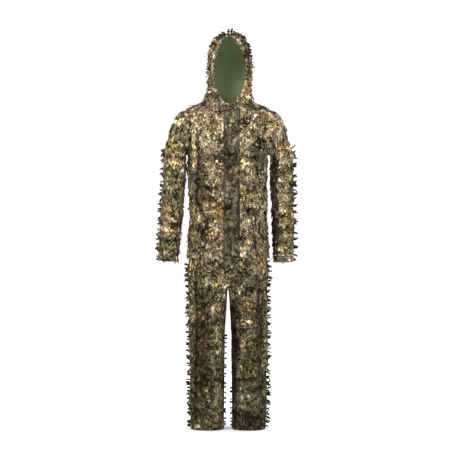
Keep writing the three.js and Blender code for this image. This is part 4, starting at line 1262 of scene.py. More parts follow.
# ---- the workshop
FINISHES = {
	"print": ("woodland_print", WoodlandPrint()),
	"bark_print": ("bark_print", WoodlandPrint(gap_level=0.40, calm=0.2)),
	"inside": ("unprinted_side", PlainCloth((0.150, 0.165, 0.105))),
	# the lining's green is painted lighter than the cloth's own: painted light inside the shaded hood; it also dresses
	# the neck facing and the hang loop
	"lining": ("lining_mesh", PlainCloth((0.250, 0.315, 0.165), variation=0.04)),
	"webbing": ("ribbed_webbing", PlainCloth((0.045, 0.045, 0.034), (260.0, 260.0, 1900.0), 0.2, 0.5)),
	"tape": ("zip_tape_weave", PlainCloth((0.040, 0.038, 0.029), (700.0, 700.0, 2400.0), 0.15, 0.3)),
	"thread": ("sewing_thread", PlainCloth((0.062, 0.054, 0.034), (3000.0,) * 3, 0.3, 0.1)),
	"coil": ("zip_coil", Moulded((0.030, 0.028, 0.023), (0.10, 0.095, 0.08), 0.42)),
	"lacquer": ("bronze_lacquer", Moulded((0.115, 0.100, 0.072), (0.42, 0.38, 0.30), 0.34, 1.0)),
}


@dataclass
class Workshop:
	"""Holds the finishes, the dyer and the random draws, and settles finished pieces.

	Attributes:
		dyer: what colours the cloth.
		materials: each finish's material, by the finish's name.
	"""

	dyer: Dyer = Dyer()
	materials: dict = field(default_factory=dict)

	def mix_finishes(self) -> None:
		"""Builds every material once."""
		for key, (name, finish) in FINISHES.items():
			self.materials[key] = finish.material(name)

	def stream(self, number: int) -> np.random.Generator:
		"""Random draws for one sub-assembly, the same each time."""
		return np.random.default_rng(SEED + number)

	def dress(self, piece: Piece, *finishes: str, slot: str = "") -> Piece:
		"""Puts the named finishes on a piece, names its slot and reports it."""
		piece.data.materials.clear()
		for finish in finishes:
			piece.data.materials.append(self.materials[finish])
		if slot:
			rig.slot(piece, slot)
		LOG.info("%s: %s, %d faces", piece.name, " over ".join(finishes), len(piece.data.polygons))
		return piece

	def printed(self, name: str, cloth: Cloth, nodes: tuple, keep: Array = None) -> Piece:
		"""Builds a piece of printed cloth that stands for the named nodes.

		Args:
			name: the piece's name.
			cloth: its surface.
			nodes: the plain nodes that it replaces.
			keep: which faces stay, or None for all.

		Returns:
			The new piece.
		"""
		piece = lay_down(name, cloth, self.dyer, keep)
		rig.replaces(piece, *nodes)
		return self.dress(piece, "print", "inside", slot="printed_cloth")

	def gathered(self, names: tuple, node: str, body: str, band: Cloth, sewn_at: int = 1) -> None:
		"""Builds a band gathered on its elastic, with its row of stitches.

		Args:
			names: the piece's name and its stitches'.
			node: the plain node that it replaces.
			body: the body that it rides on.
			band: its folded surface.
			sewn_at: which of the surface's rows is stitched.
		"""
		piece = lay_down(names[0], band, self.dyer, thickness=0.0)
		self.dress(piece, "print", slot="printed_cloth")
		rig.replaces(piece, node)
		self.stitched(names[1], body, band.points[sewn_at], band.normals[sewn_at])
		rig.ride(piece, body)

	def stitched(self, name: str, body: str, line: Array, normal: Array) -> Piece:
		"""Sews a row of stitches that rides on a body."""
		sewn = self.dress(stitches(name, line, normal), "thread")
		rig.ride(sewn, body)
		return sewn

	def leaves(self, name: str, row: LeafRow, body: str = "") -> Piece:
		"""Builds and dresses a piece of leaves, which may ride on a body."""
		piece = self.dress(row.build(name), "print", slot="leaf_cloth")
		if body:
			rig.ride(piece, body)
		return piece

@dataclass(frozen=True)
class Bend:
	"""A stretch of cloth that bends between two bodies.

	Attributes:
		before: the body that the cloth follows first.
		after: the body that it follows at the end.
		start: where it starts to turn, in the frame.
		end: where it has turned.
	"""

	before: str
	after: str
	start: tuple
	end: tuple

	def apply(self, piece: Piece) -> None:
		"""Makes a piece bend over this stretch."""
		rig.blend(piece, self.before, self.after, start=self.start, end=self.end)


def declare(piece: Piece, cloth: Cloth, on: list, held: str, leaves: list = ()) -> None:
	"""Declares a sheet of cloth with the size it was cut to."""
	width, length, area = cloth.flat_size()
	width, length = max(width, 0.011), max(length, 0.011)
	area = min(max(area, 0.31 * width * length), width * length)
	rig.sheet(
		piece,
		flat=(round(width, 3) + 0.001, round(length, 3) + 0.001),
		held=held,
		rests_on=on,
		area=area,
		with_pieces=list(leaves),
	)


def channel(inside: Cloth, ripple: Array, depth: float, bulge: float) -> Cloth:
	"""Folds a band of cloth round its elastic.

	Args:
		inside: the band's outer wall as five rows from its top to its bottom.
		ripple: how far the gathers stand out round the band.
		depth: from the outer wall to the inner one.
		bulge: how far the outer wall stands out in its middle.

	Returns:
		The folded band, whose rows run round its section.
	"""
	profile = (
		(0.0, 1.4, 0.1), (0.06, 0.1, 0.6), (0.3, -bulge, 1.0), (0.5, -1.15 * bulge, 1.0),
		(0.7, -bulge, 1.0), (0.94, 0.1, 0.6), (1.0, 1.4, 0.1), (1.0, depth - 1.4, 0.1),
		(0.93, depth, 0.3), (0.5, depth + 0.4, 0.4), (0.07, depth, 0.3), (0.0, depth - 1.4, 0.1),
	)
	rows, last = [], len(inside.points) - 1
	for share, inwards, gathered in profile:
		place = share * last
		low = min(int(place), last - 1)
		part = place - low
		points, normals = (
			p[low] * (1 - part) + p[low + 1] * part for p in (inside.points, inside.normals)
		)
		rows.append(points + unit(normals) * (ripple * gathered - inwards)[:, None])
	return turned_out(Cloth(np.stack(rows), inside.closed, looped=True))


def gathers(points: Array, pitch: float, height: float, seed: int) -> Array:
	"""Ripples round a gathered band, uneven as real gathers are."""
	run = run_of(points)
	waves = max(4, round(run[-1] / pitch))
	turn = 2 * math.pi * waves * run / run[-1]
	wander = smooth_noise(points, (24, 24, 24), seed) * 2.2
	size = 0.75 + 0.25 * smooth_noise(points, (17, 17, 17), seed + 5)
	return height * size * np.sin(turn + wander)


# ---- the jacket's cut
@dataclass(frozen=True)
class TrunkCut:
	"""The jacket's trunk: rounded sections from the hem up to the neckline.

	Attributes:
		hem, band, neck, armpit: heights of the hem, of its band, of the neckline's sides and of
			the armpit.
		half_widths: half the width at each height.
		backs: how far the back is behind the middle.
		dips: how much a section falls towards the front, for each millimetre.
		roundness: how square a section is, where 2 is an oval.
		front_at_hem, zip_lean: where the zip is at the hem, and how much it leans back.
		zip_opening: from the zip's middle to each front's edge.
		armhole_middle, armhole_half, armhole_depth: the armhole's height, half its height and
			half its depth.
	"""

	hem: float = 750.0
	band: float = 34.0
	neck: float = 1443.0
	armpit: float = 1197.0
	half_widths: tuple = (
		(750, 178), (945, 166), (1197, 175), (1360, 182), (1400, 181),
		(1417, 153), (1430, 122), (1443, 104),
	)
	backs: tuple = ((750, 125), (945, 114), (1197, 122), (1360, 110), (1400, 100), (1443, 88))
	dips: tuple = ((1197, 0.0), (1400, 0.165), (1443, 0.3))
	roundness: tuple = ((750, 2.4), (1197, 2.4), (1443, 2.1))
	front_at_hem: float = 132.0
	zip_lean: float = 0.035
	zip_opening: float = 6.5
	armhole_middle: float = 1300.5
	armhole_half: float = 99.5
	armhole_depth: float = 62.0

	def front(self, level: Array, dip: Array) -> Array:
		"""How far the front is before the middle, so that it lies on the zip's line."""
		return (self.front_at_hem - self.zip_lean * (level - self.hem)) / (1 - self.zip_lean * dip)

	def at(self, level: Array, angle: Array) -> Array:
		"""Points of the trunk. Angle 0 is the middle of the front."""
		dip = straight(self.dips, level)
		rounded = straight(self.roundness, level)
		across = eased(self.half_widths, level) * power(np.sin(angle), 2 / rounded)
		cosine = power(np.cos(angle), 2 / rounded)
		reach = np.where(cosine > 0, self.front(level, dip), eased(self.backs, level))
		depth = -cosine * reach
		return np.stack([across, depth, level + dip * depth], axis=-1)

	def side_at(self, y: Array, z: Array) -> Array:
		"""Half the trunk's width at a depth and a height."""
		dip = straight(self.dips, z)
		level = z - dip * y
		rounded = straight(self.roundness, level)
		reach = np.where(y < 0, self.front(level, dip), eased(self.backs, level))
		share = np.clip(np.abs(y) / reach, 0, 0.97)
		return eased(self.half_widths, level) * (1 - share**rounded) ** (1 / rounded)

	def front_at(self, x: Array, level: Array) -> Array:
		"""Points of the front at a distance from its middle, for a section's level."""
		width = eased(self.half_widths, level)
		rounded = straight(self.roundness, level)
		angle = np.arcsin(np.clip(np.abs(x) / width, 0, 1) ** (rounded / 2)) * np.sign(x)
		return self.at(level, angle)

	def round_armhole(self, points: Array) -> Array:
		"""How far points are from the armhole's middle, where 1 is its edge."""
		y = points[..., 1] / self.armhole_depth
		z = (points[..., 2] - self.armhole_middle) / self.armhole_half
		return np.where(np.abs(points[..., 0]) > 120, np.hypot(y, z), 9.0)


@dataclass
class Jacket:
	"""The jacket's trunk: its back, its fronts and its gathered hem.

	Attributes:
		shop, cut: the workshop, and the trunk's sizes.
		quarter, spacing: points in a quarter of each row, and from one row to the next.
		sewing: how its leaves are sewn.
	"""

	shop: Workshop
	cut: TrunkCut = TrunkCut()
	quarter: int = 34
	spacing: float = 7.0
	sewing: Sewing = Sewing()

	def folds(self, points: Array) -> Array:
		"""How far the worn cloth stands out in folds."""
		z = points[..., 2]
		hanging = 4.2 * smooth_noise(points, (64, 64, 300), 11)
		hanging += 2.2 * creases(points, (34, 70, 120), 12)
		slack = 3.4 * creases(points, (150, 150, 44), 13) * fade(z - 930, 170)
		pulled = 2.4 * creases(points, (52, 60, 36), 14) * fade(z - self.cut.armpit, 90)
		hem = 3.2 * smooth_noise(points, (9, 9, 130), 15) * fade(z - self.cut.hem - 20, 52)
		calm = 1 - 0.75 * fade(z - self.cut.neck, 60)
		return (hanging + slack + pulled + hem) * calm

	def trunk(self) -> Cloth:
		"""The whole trunk above the hem's band, from top to bottom."""
		cut = self.cut
		levels = even_levels(cut.at, cut.hem + cut.band - 2, cut.neck, self.spacing)[::-1]
		smooth = Cloth(even_round(cut.at, levels, self.quarter), closed=True)
		ends = np.minimum(np.arange(len(levels)), 3)[:, None] / 3
		away = np.clip((self.cut.round_armhole(smooth.points) - 1) * 2.5, 0, 1)
		zip_calm = 1 - 0.7 * fade(smooth.points[..., 0], 60) * (smooth.points[..., 1] < 0)
		amount = self.folds(smooth.points) * ends * (0.15 + 0.85 * away) * zip_calm
		return smooth.pushed(amount)

	def make(self) -> None:
		"""Builds and dresses the trunk, and sews its leaves."""
		shop, cut, n = self.shop, self.cut, self.quarter
		trunk = self.trunk()
		ringed = cut.round_armhole(trunk.points)
		gone, edge = opened(ringed)
		share, middle = 1 / ringed[edge], cut.armhole_middle
		flat = trunk.points[edge]
		flat[:, 1] *= share
		flat[:, 2] = middle + (flat[:, 2] - middle) * share
		trunk.points[edge] = flat
		around = list(range(4 * n))
		panels = {
			"jacket_back_panel": (around[n : 3 * n + 1], "jacket_back", 86),
			"jacket_front_panel_left": (around[1 : n + 1], "jacket_front_left", 57),
			"jacket_front_panel_right": (around[3 * n :], "jacket_front_right", 58),
		}
		for name, (columns, node, stream) in panels.items():
			panel = trunk.part(slice(None), columns)
			for side, column in ((Side.LEFT, 0), (Side.RIGHT, -1)):
				if name.endswith(side.label):
					panel.points[:, column, 0] = side.value * cut.zip_opening
			piece = shop.printed(name, panel, (node,), ~gone[:, columns[:-1]])
			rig.ride(piece, "jacket")
			row = LeafRow(shop.dyer, shop.stream(stream))
			self.sewing.cover(row, panel, self.may_carry)
			leaves = shop.leaves(name.replace("panel", "leaves"), row, "jacket")
			declare(piece, panel, ["hood_collar_band"], "hung", [leaves])
		self.make_hem()

	def may_carry(self, base: Array) -> Array:
		"""Says where the trunk's leaves may be sewn: not in the armholes or under the flap."""
		x, y, z = base.T
		clear = self.cut.round_armhole(base) > 1.12
		zip_side = (y < 0) & (x > -30) & (x < 60)
		return clear & ~zip_side & (z < self.cut.neck - 16 - 0.3 * np.abs(y))

	def make_hem(self) -> None:
		"""Builds the gathered hem, which runs from one side of the zip round to the other."""
		cut, shop = self.cut, self.shop
		levels = np.linspace(cut.hem + cut.band, cut.hem, 5)
		start = math.asin((cut.zip_opening / cut.half_widths[0][1]) ** (2.4 / 2))
		angles = np.linspace(start, 2 * math.pi - start, 300)
		wall = Cloth(cut.at(levels[:, None], angles[None, :]))
		ripple = gathers(wall.points[2], 15.0, 1.9, 31)
		hem = channel(wall, ripple, 8.3, 0.6)
		names = ("jacket_hem_band", "jacket_hem_stitches")
		shop.gathered(names, "jacket_hem", "jacket", hem)
		row = LeafRow(shop.dyer, shop.stream(33))
		self.sewing.cover(row, wall, lambda base: ~((base[:, 1] < 0) & (abs(base[:, 0] - 16) < 44)))
		shop.leaves("jacket_hem_leaves", row, "jacket")


@dataclass
class StormFlap:
	"""The flap over the zip, sewn on to the zip's left and free on its right.

	Attributes:
		shop, cut: the workshop, and the trunk's sizes.
		free, sewn: from the zip to the free edge and to the sewn edge.
		bulge: how far it stands off the zip.
		thickness: of its two layers together.
		tight_below, tight_lift: the trunk's half width below which the flap's sewn edge lifts,
			and the most that it lifts.
		dyer: what colours it, calmer and darker than the rest.
	"""

	shop: Workshop
	cut: TrunkCut = TrunkCut()
	free: float = 20.0
	sewn: float = 52.0
	bulge: float = 7.0
	thickness: float = 2.2
	tight_below: float = 152.0
	tight_lift: float = 27.0
	dyer: Dyer = Dyer(
		patches=toned(
			Patch,
			{
				Tone.SHADOW: ((47, 1000, 7, 230, 0.8),),
				Tone.GREEN: ((10, 1340, 40, 50, 0.5), (20, 860, 40, 60, 0.4)),
				Tone.BARK: ((20, 1150, 50, 60, 0.6),),
				Tone.PALE: ((0, 1060, 14, 24, 0.4),),
				Tone.ORANGE: ((-16, 950, 16, 30, 0.6),),
			},
		),
		streaks=(Streak(Tone.SHADOW, ((-16, 1380), (-14, 1000), (-16, 760)), 3.0, 0.5),),
		heights=((0, 0.5), (750, 0.56), (1100, 0.62), (1400, 0.68)),
	)

	def surface(self) -> Cloth:
		"""The flap's outer side, from top to bottom."""
		levels = np.linspace(self.cut.neck - 1, self.cut.hem, 110)
		share = np.linspace(0, 1, 15)
		x = -self.free + (self.free + self.sewn) * share
		points = self.cut.front_at(x[None, :] + 0 * levels[:, None], levels[:, None] + 0 * x)
		tight = np.maximum(0, self.tight_below - eased(self.cut.half_widths, levels))
		off = (x[None, :] / self.sewn) ** 2 * (tight / self.tight_below)[:, None] * self.tight_lift
		wave = 1.3 * smooth_noise(points, (60, 60, 55), 41) * (1 - share**2)
		wave += 0.7 * smooth_noise(points, (16, 60, 90), 42) * (1 - share)
		points[..., 1] -= 2.9 + off + self.bulge * np.sin(math.pi * share) + wave
		return Cloth(points)

	def make(self) -> None:
		"""Builds the flap with its stitched edges."""
		flap, shop = self.surface(), self.shop
		if flap.normals[..., 1].sum() > 0:
			flap.normals = -flap.normals
		piece = lay_down("storm_flap_cloth", flap, self.dyer, thickness=self.thickness)
		shop.dress(piece, "bark_print", slot="printed_cloth")
		piece.modifiers["thickness"].material_offset = 0
		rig.replaces(piece, "storm_flap")
		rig.ride(piece, "storm_flap")
		rows = []
		for number, column in enumerate((1, 12, 13), start=1):
			line, normal = flap.points[:, column], flap.normals[:, column]
			rows.append(shop.stitched(f"storm_flap_stitches_{number}", "storm_flap", line, normal))
		declare(piece, flap, ["jacket_front_panel_left"], "hung", rows)


# ---- sleeves
@dataclass
class Sleeve:
	"""One sleeve, from its armhole to its gathered cuff.

	Attributes:
		shop, side, cut: the workshop, which sleeve, and the trunk's sizes.
		lean: degrees that it hangs away from the body.
		armhole_x, armhole_height: from the suit's middle to the armhole, and the armhole's height.
		armpit_radius: how far the cloth stays from the armpit.
		shoulder_round: degrees over which the shoulder rounds off.
		width, depth: the sleeve's, below the armpit.
		cuff_width, cuff_depth: the sleeve's, at the cuff.
		length, elbow, split: from the armpit to the end, to the elbow and to the cloth's seam.
		cuff: the cuff's height.
		columns, spacing: points in each ring, and from one ring to the next.
		drawn_in: how far it hangs nearer the body than straight.
		sewing: how its leaves are sewn.
	"""

	shop: Workshop
	side: Side
	lean: float
	cut: TrunkCut = TrunkCut()
	armhole_x: float = 182.0
	armpit_radius: float = 4.0
	armhole_height: float = 203.0
	shoulder_round: float = 31.0
	width: float = 98.0
	depth: float = 124.0
	cuff_width: float = 84.0
	cuff_depth: float = 98.0
	length: float = 468.0
	elbow: float = 207.0
	split: float = 115.0
	cuff: float = 28.0
	columns: int = 54
	spacing: float = 6.6
	drawn_in: float = 0.0
	sewing: Sewing = Sewing()

	def reach(self, turn: Array) -> Array:
		"""How far the outer side is from the armpit, a turn round from straight up."""
		falling = np.exp(-((np.degrees(turn) / self.shoulder_round) ** 2))
		below = self.armpit_radius + self.width
		return below + (self.armhole_height - below) * falling

	def rings(self, turn: Array, down: Array) -> Array:
		"""Rings of the sleeve: turned round the armpit, then moved down the arm."""
		s = self.side.value
		round_it = 2 * math.pi * np.arange(self.columns) / self.columns
		out = np.stack([s * np.sin(turn), 0 * turn, np.cos(turn)], -1)
		along = np.stack([s * np.cos(turn), 0 * turn, -np.sin(turn)], -1)
		reach = self.reach(turn)
		armpit = np.array([s * self.armhole_x, 0.0, self.cut.armpit])
		middle = armpit + out * ((reach + self.armpit_radius) / 2)[:, None]
		middle = middle + along * down[:, None]
		share = down / self.length
		head = (reach - self.armpit_radius) / 2
		half = np.where(down > 0, (self.width + (self.cuff_width - self.width) * share) / 2, head)
		deep = (self.depth + (self.cuff_depth - self.depth) * share) / 2
		forward = np.array([0.0, -1.0, 0.0])
		middle = middle - out * (self.drawn_in * np.clip(down / 120, 0, 1))[:, None]
		ring = middle[:, None] + (half[:, None] * np.sin(round_it))[..., None] * out[:, None]
		return ring + (deep[:, None] * np.cos(round_it))[..., None] * forward

	def armhole(self) -> Array:
		"""The sleeve's first ring, on the trunk's own surface."""
		round_it = 2 * math.pi * np.arange(self.columns) / self.columns
		y = -self.cut.armhole_depth * np.cos(round_it)
		z = self.cut.armhole_middle + self.cut.armhole_half * np.sin(round_it)
		return np.stack([self.side.value * (self.cut.side_at(y, z) + 0.4), y, z], -1)

	def folds(self, points: Array, down: Array) -> Array:
		"""How far the worn sleeve stands out in folds."""
		long = 2.4 * smooth_noise(points, (46, 50, 170), 21 + self.side.value)
		crossed = 3.0 * creases(points, (60, 70, 30), 23 + self.side.value)
		crossed = crossed * (0.35 + 0.65 * fade(down - self.elbow, 110))
		armpit = 2.5 * creases(points, (44, 60, 26), 25) * fade(down, 60)
		cuff = 1.8 * smooth_noise(points, (8, 8, 90), 26) * fade(down - self.length + 24, 40)
		return long + crossed + armpit + cuff

	def surface(self) -> tuple:
		"""The whole sleeve above its cuff, from the armhole down, and each row's distance down."""
		last = QUARTER - math.radians(self.lean)
		turns = np.linspace(math.radians(7), last, 25)
		downs = np.arange(self.spacing, self.length - self.cuff + 2, self.spacing)
		turn = np.concatenate([turns, np.full(len(downs), last)])
		down = np.concatenate([np.zeros(len(turns)), downs])
		points = np.concatenate([self.armhole()[None], self.rings(turn, down)])
		down = np.concatenate([[-200.0], np.linspace(-190, 0, len(turns)), downs])
		smooth = Cloth(points, closed=True)
		easing = np.clip((down + 200) / 60, 0, 1)[:, None]
		end = np.clip((self.length - self.cuff - down) / 12, 0.15, 1)[:, None]
		return smooth.pushed(self.folds(points, down[:, None]) * easing * end), down

	def bends(self) -> tuple:
		"""How the sleeve bends at the shoulder and at the elbow."""
		s, label = self.side.value, self.side.label
		armpit = np.array([s * self.armhole_x, 0.0, self.cut.armpit])
		slope = np.array([s * 0.5, 0.0, -0.866])
		start, end = (in_frame(armpit + slope * far) for far in (-20.0, 100.0))
		upper = Bend("jacket", f"upper_sleeve_{label}", tuple(start), tuple(end))
		last = np.array([QUARTER - math.radians(self.lean)])
		rings = [self.rings(last, np.array([self.elbow + far])).mean((0, 1)) for far in (-82.0, 82.0)]
		start, end = map(in_frame, rings)
		lower = Bend(f"upper_sleeve_{label}", f"lower_sleeve_{label}", tuple(start), tuple(end))
		return upper, lower

	def strip(self, row: LeafRow, cloth: Cloth, down: Array, low: float) -> None:
		"""Sews the strip of leaves that stands out along the sleeve's outer side."""
		column, rows = self.columns // 4, down > low
		tips = (21.0, 29.0) if self.side is Side.LEFT else (16.0, 24.0)
		for shift, dark, pitch in ((0, 0.34, 30.0), (-2, 0.45, 52.0), (2, 0.4, 52.0)):
			at = (column + shift) % self.columns
			fringe(row, cloth.points[rows, at], cloth.normals[rows, at], pitch, tips, dark)

	def make(self) -> None:
		"""Builds both lengths of the sleeve, their leaves and the cuff."""
		shop, label = self.shop, self.side.label
		cloth, down = self.surface()
		split = int(np.searchsorted(down, self.split))
		upper_bend, lower_bend = self.bends()
		upper = ("upper", slice(0, split + 1), upper_bend, ("sleeve_head_", "sleeve_upper_"))
		lower = ("lower", slice(split, None), lower_bend, ("sleeve_elbow_", "sleeve_lower_"))
		parts = ((*upper, -60.0, 6, 62), (*lower, -999.0, 0, 63))
		for name, rows, bend, nodes, strip_from, bare, stream in parts:
			part = cloth.band(rows)
			nodes = tuple(node + label for node in nodes)
			piece = shop.printed(f"sleeve_{name}_cloth_{label}", part, nodes)
			bend.apply(piece)
			row = LeafRow(shop.dyer, shop.stream(stream + self.side.value))
			self.sewing.cover(row, part.band(slice(bare, None)), self.may_carry)
			self.strip(row, part, down[rows], strip_from)
			leaves = shop.leaves(f"sleeve_{name}_cut_leaves_{label}", row)
			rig.replaces(leaves, f"sleeve_{name}_leaves_{label}")
			bend.apply(leaves)
			declare(piece, part, ["jacket_back_panel"], "hung", [leaves])
		self.make_seam(cloth, upper_bend)
		self.make_cuff()

	def may_carry(self, base: Array) -> Array:
		"""Says where the sleeve's leaves may be sewn: not close under the arm."""
		x, _, z = base.T
		return (np.abs(x) >= self.armhole_x + 16) | (z <= self.cut.armpit - 40)

	def make_seam(self, cloth: Cloth, bend: Bend) -> None:
		"""Stitches the sleeve into its armhole."""
		ring, normals = (np.concatenate([p[1], p[1][:1]]) for p in (cloth.points, cloth.normals))
		sewn = stitches(f"armhole_stitches_{self.side.label}", ring, normals)
		self.shop.dress(sewn, "thread")
		bend.apply(sewn)

	def make_cuff(self) -> None:
		"""Builds the gathered cuff."""
		shop, label = self.shop, self.side.label
		turn = np.full(5, QUARTER - math.radians(self.lean))
		down = np.linspace(self.length - self.cuff, self.length, 5)
		body, points = f"lower_sleeve_{label}", 150
		fine = 2 * math.pi * np.arange(points) / points
		ring = 2 * math.pi * np.arange(self.columns + 1) / self.columns
		coarse = self.rings(turn, down)
		coarse = np.concatenate([coarse, coarse[:, :1]], axis=1)
		wall = Cloth(np.stack([read_at(fine, ring, row) for row in coarse]), closed=True)
		cuff = channel(wall, gathers(wall.points[2], 13.0, 1.8, 61), 8.3, 0.6)
		names = (f"gathered_cuff_{label}", f"cuff_stitches_{label}")
		shop.gathered(names, f"cuff_{label}", body, cuff)
		row = LeafRow(shop.dyer, shop.stream(70 + self.side.value))
		line, outward = (p[::-1][:, points // 4] for p in (wall.points, wall.normals))
		fringe(row, line, outward, 14.0, (12.0, 19.0), 0.4)
		end = self.cut.armpit - self.length + 20
		self.sewing.cover(row, wall, lambda base: base[:, 2] > end)
		shop.leaves(f"cuff_leaves_{label}", row, body)


# ---- hood
@dataclass(frozen=True)
class HoodCut:
	"""The hood: rounded sections from the neckline to the crown, open for the face.

	Attributes:
		neck, height: height of the neckline, and from there to the crown.
		half_width, front, back: half the hood's width, and how far its front and back are.
		collar: height of the collar.
		widths, fronts, backs: shares of those at each share of the height.
		dips: how much a section falls towards the front, at each share of the height.
		roundness: how square a section is, where 2 is an oval.
		face_half_width, face_half_height, face_z: the face opening's half sizes, and its middle.
		taken_in: share of the width by which the hood is narrower above the neck.
		aside: how far it stands to the wearer's left.
	"""

	neck: float = 1443.0
	height: float = 292.0
	half_width: float = 98.0
	front: float = 110.0
	back: float = 142.0
	collar: float = 57.0
	widths: tuple = (
		(0, 104 / 98), (0.14, 1), (0.3, 0.985), (0.58, 0.97), (0.77, 0.9), (0.88, 0.74),
		(0.955, 0.5), (1, 0.0),
	)
	fronts: tuple = (
		(0, 108.9 / 110), (0.14, 0.97), (0.3, 1), (0.58, 1), (0.77, 0.98), (0.88, 0.9),
		(0.955, 0.74), (1, 0.0),
	)
	backs: tuple = (
		(0, 88 / 142), (0.14, 0.76), (0.3, 0.91), (0.58, 1), (0.77, 0.95), (0.88, 0.82),
		(0.955, 0.6), (1, 0.0),
	)
	dips: tuple = ((0, 0.3), (0.2, 0.3), (0.6, 0), (1, 0))
	roundness: float = 2.1
	face_half_width: float = 69.0
	face_half_height: float = 144.0
	face_z: float = 1565.0
	taken_in: float = 0.085
	aside: float = 7.0

	def at(self, level: Array, angle: Array) -> Array:
		"""Points of the hood. Angle 0 is the middle of the front."""
		share = (level - self.neck) / self.height
		dip = straight(self.dips, share)
		across = eased(self.widths, share) * self.half_width * power(np.sin(angle), 2 / self.roundness)
		across = across * (1 - self.taken_in * np.clip((share - 0.03) / 0.2, 0, 1))
		cosine = power(np.cos(angle), 2 / self.roundness)
		reach = np.where(
			cosine > 0, eased(self.fronts, share) * self.front, eased(self.backs, share) * self.back
		)
		depth = -cosine * reach
		across = across + self.aside * np.clip(share / 0.25, 0, 1)
		return np.stack([across, depth, level + dip * depth], axis=-1)

	def front_y(self, x: Array, z: Array) -> Array:
		"""How far forward the hood's front is at a place of the face opening."""
		y = np.full(np.broadcast(x, z).shape, -self.front)
		for _ in range(40):
			dip = straight(self.dips, (z + 0.3 * self.front - self.neck) / self.height)
			share = np.clip((z - dip * y - self.neck) / self.height, 0, 0.99)
			half = eased(self.widths, share) * self.half_width * (1 - self.taken_in)
			off = np.clip(np.abs(x - self.aside) / half, 0, 0.995)
			round_it = np.clip(1 - off**self.roundness, 0.004, 1) ** (1 / self.roundness)
			y = 0.5 * y - 0.5 * eased(self.fronts, share) * self.front * round_it
		return y

	def face_edge(self, angle: Array, grow: float) -> tuple:
		"""Places across and up on the face opening's edge, grown. Angle 0 is its top."""
		x = self.aside + (self.face_half_width + grow) * np.sin(angle)
		return x, self.face_z + (self.face_half_height + grow) * np.cos(angle)

	def round_face(self, points: Array, grow: float) -> Array:
		"""How far points are from the face opening's middle, where 1 is its edge grown."""
		x = (points[..., 0] - self.aside) / (self.face_half_width + grow)
		z = (points[..., 2] - self.face_z) / (self.face_half_height + grow)
		return np.where(points[..., 1] < -12, np.hypot(x, z), 9.0)


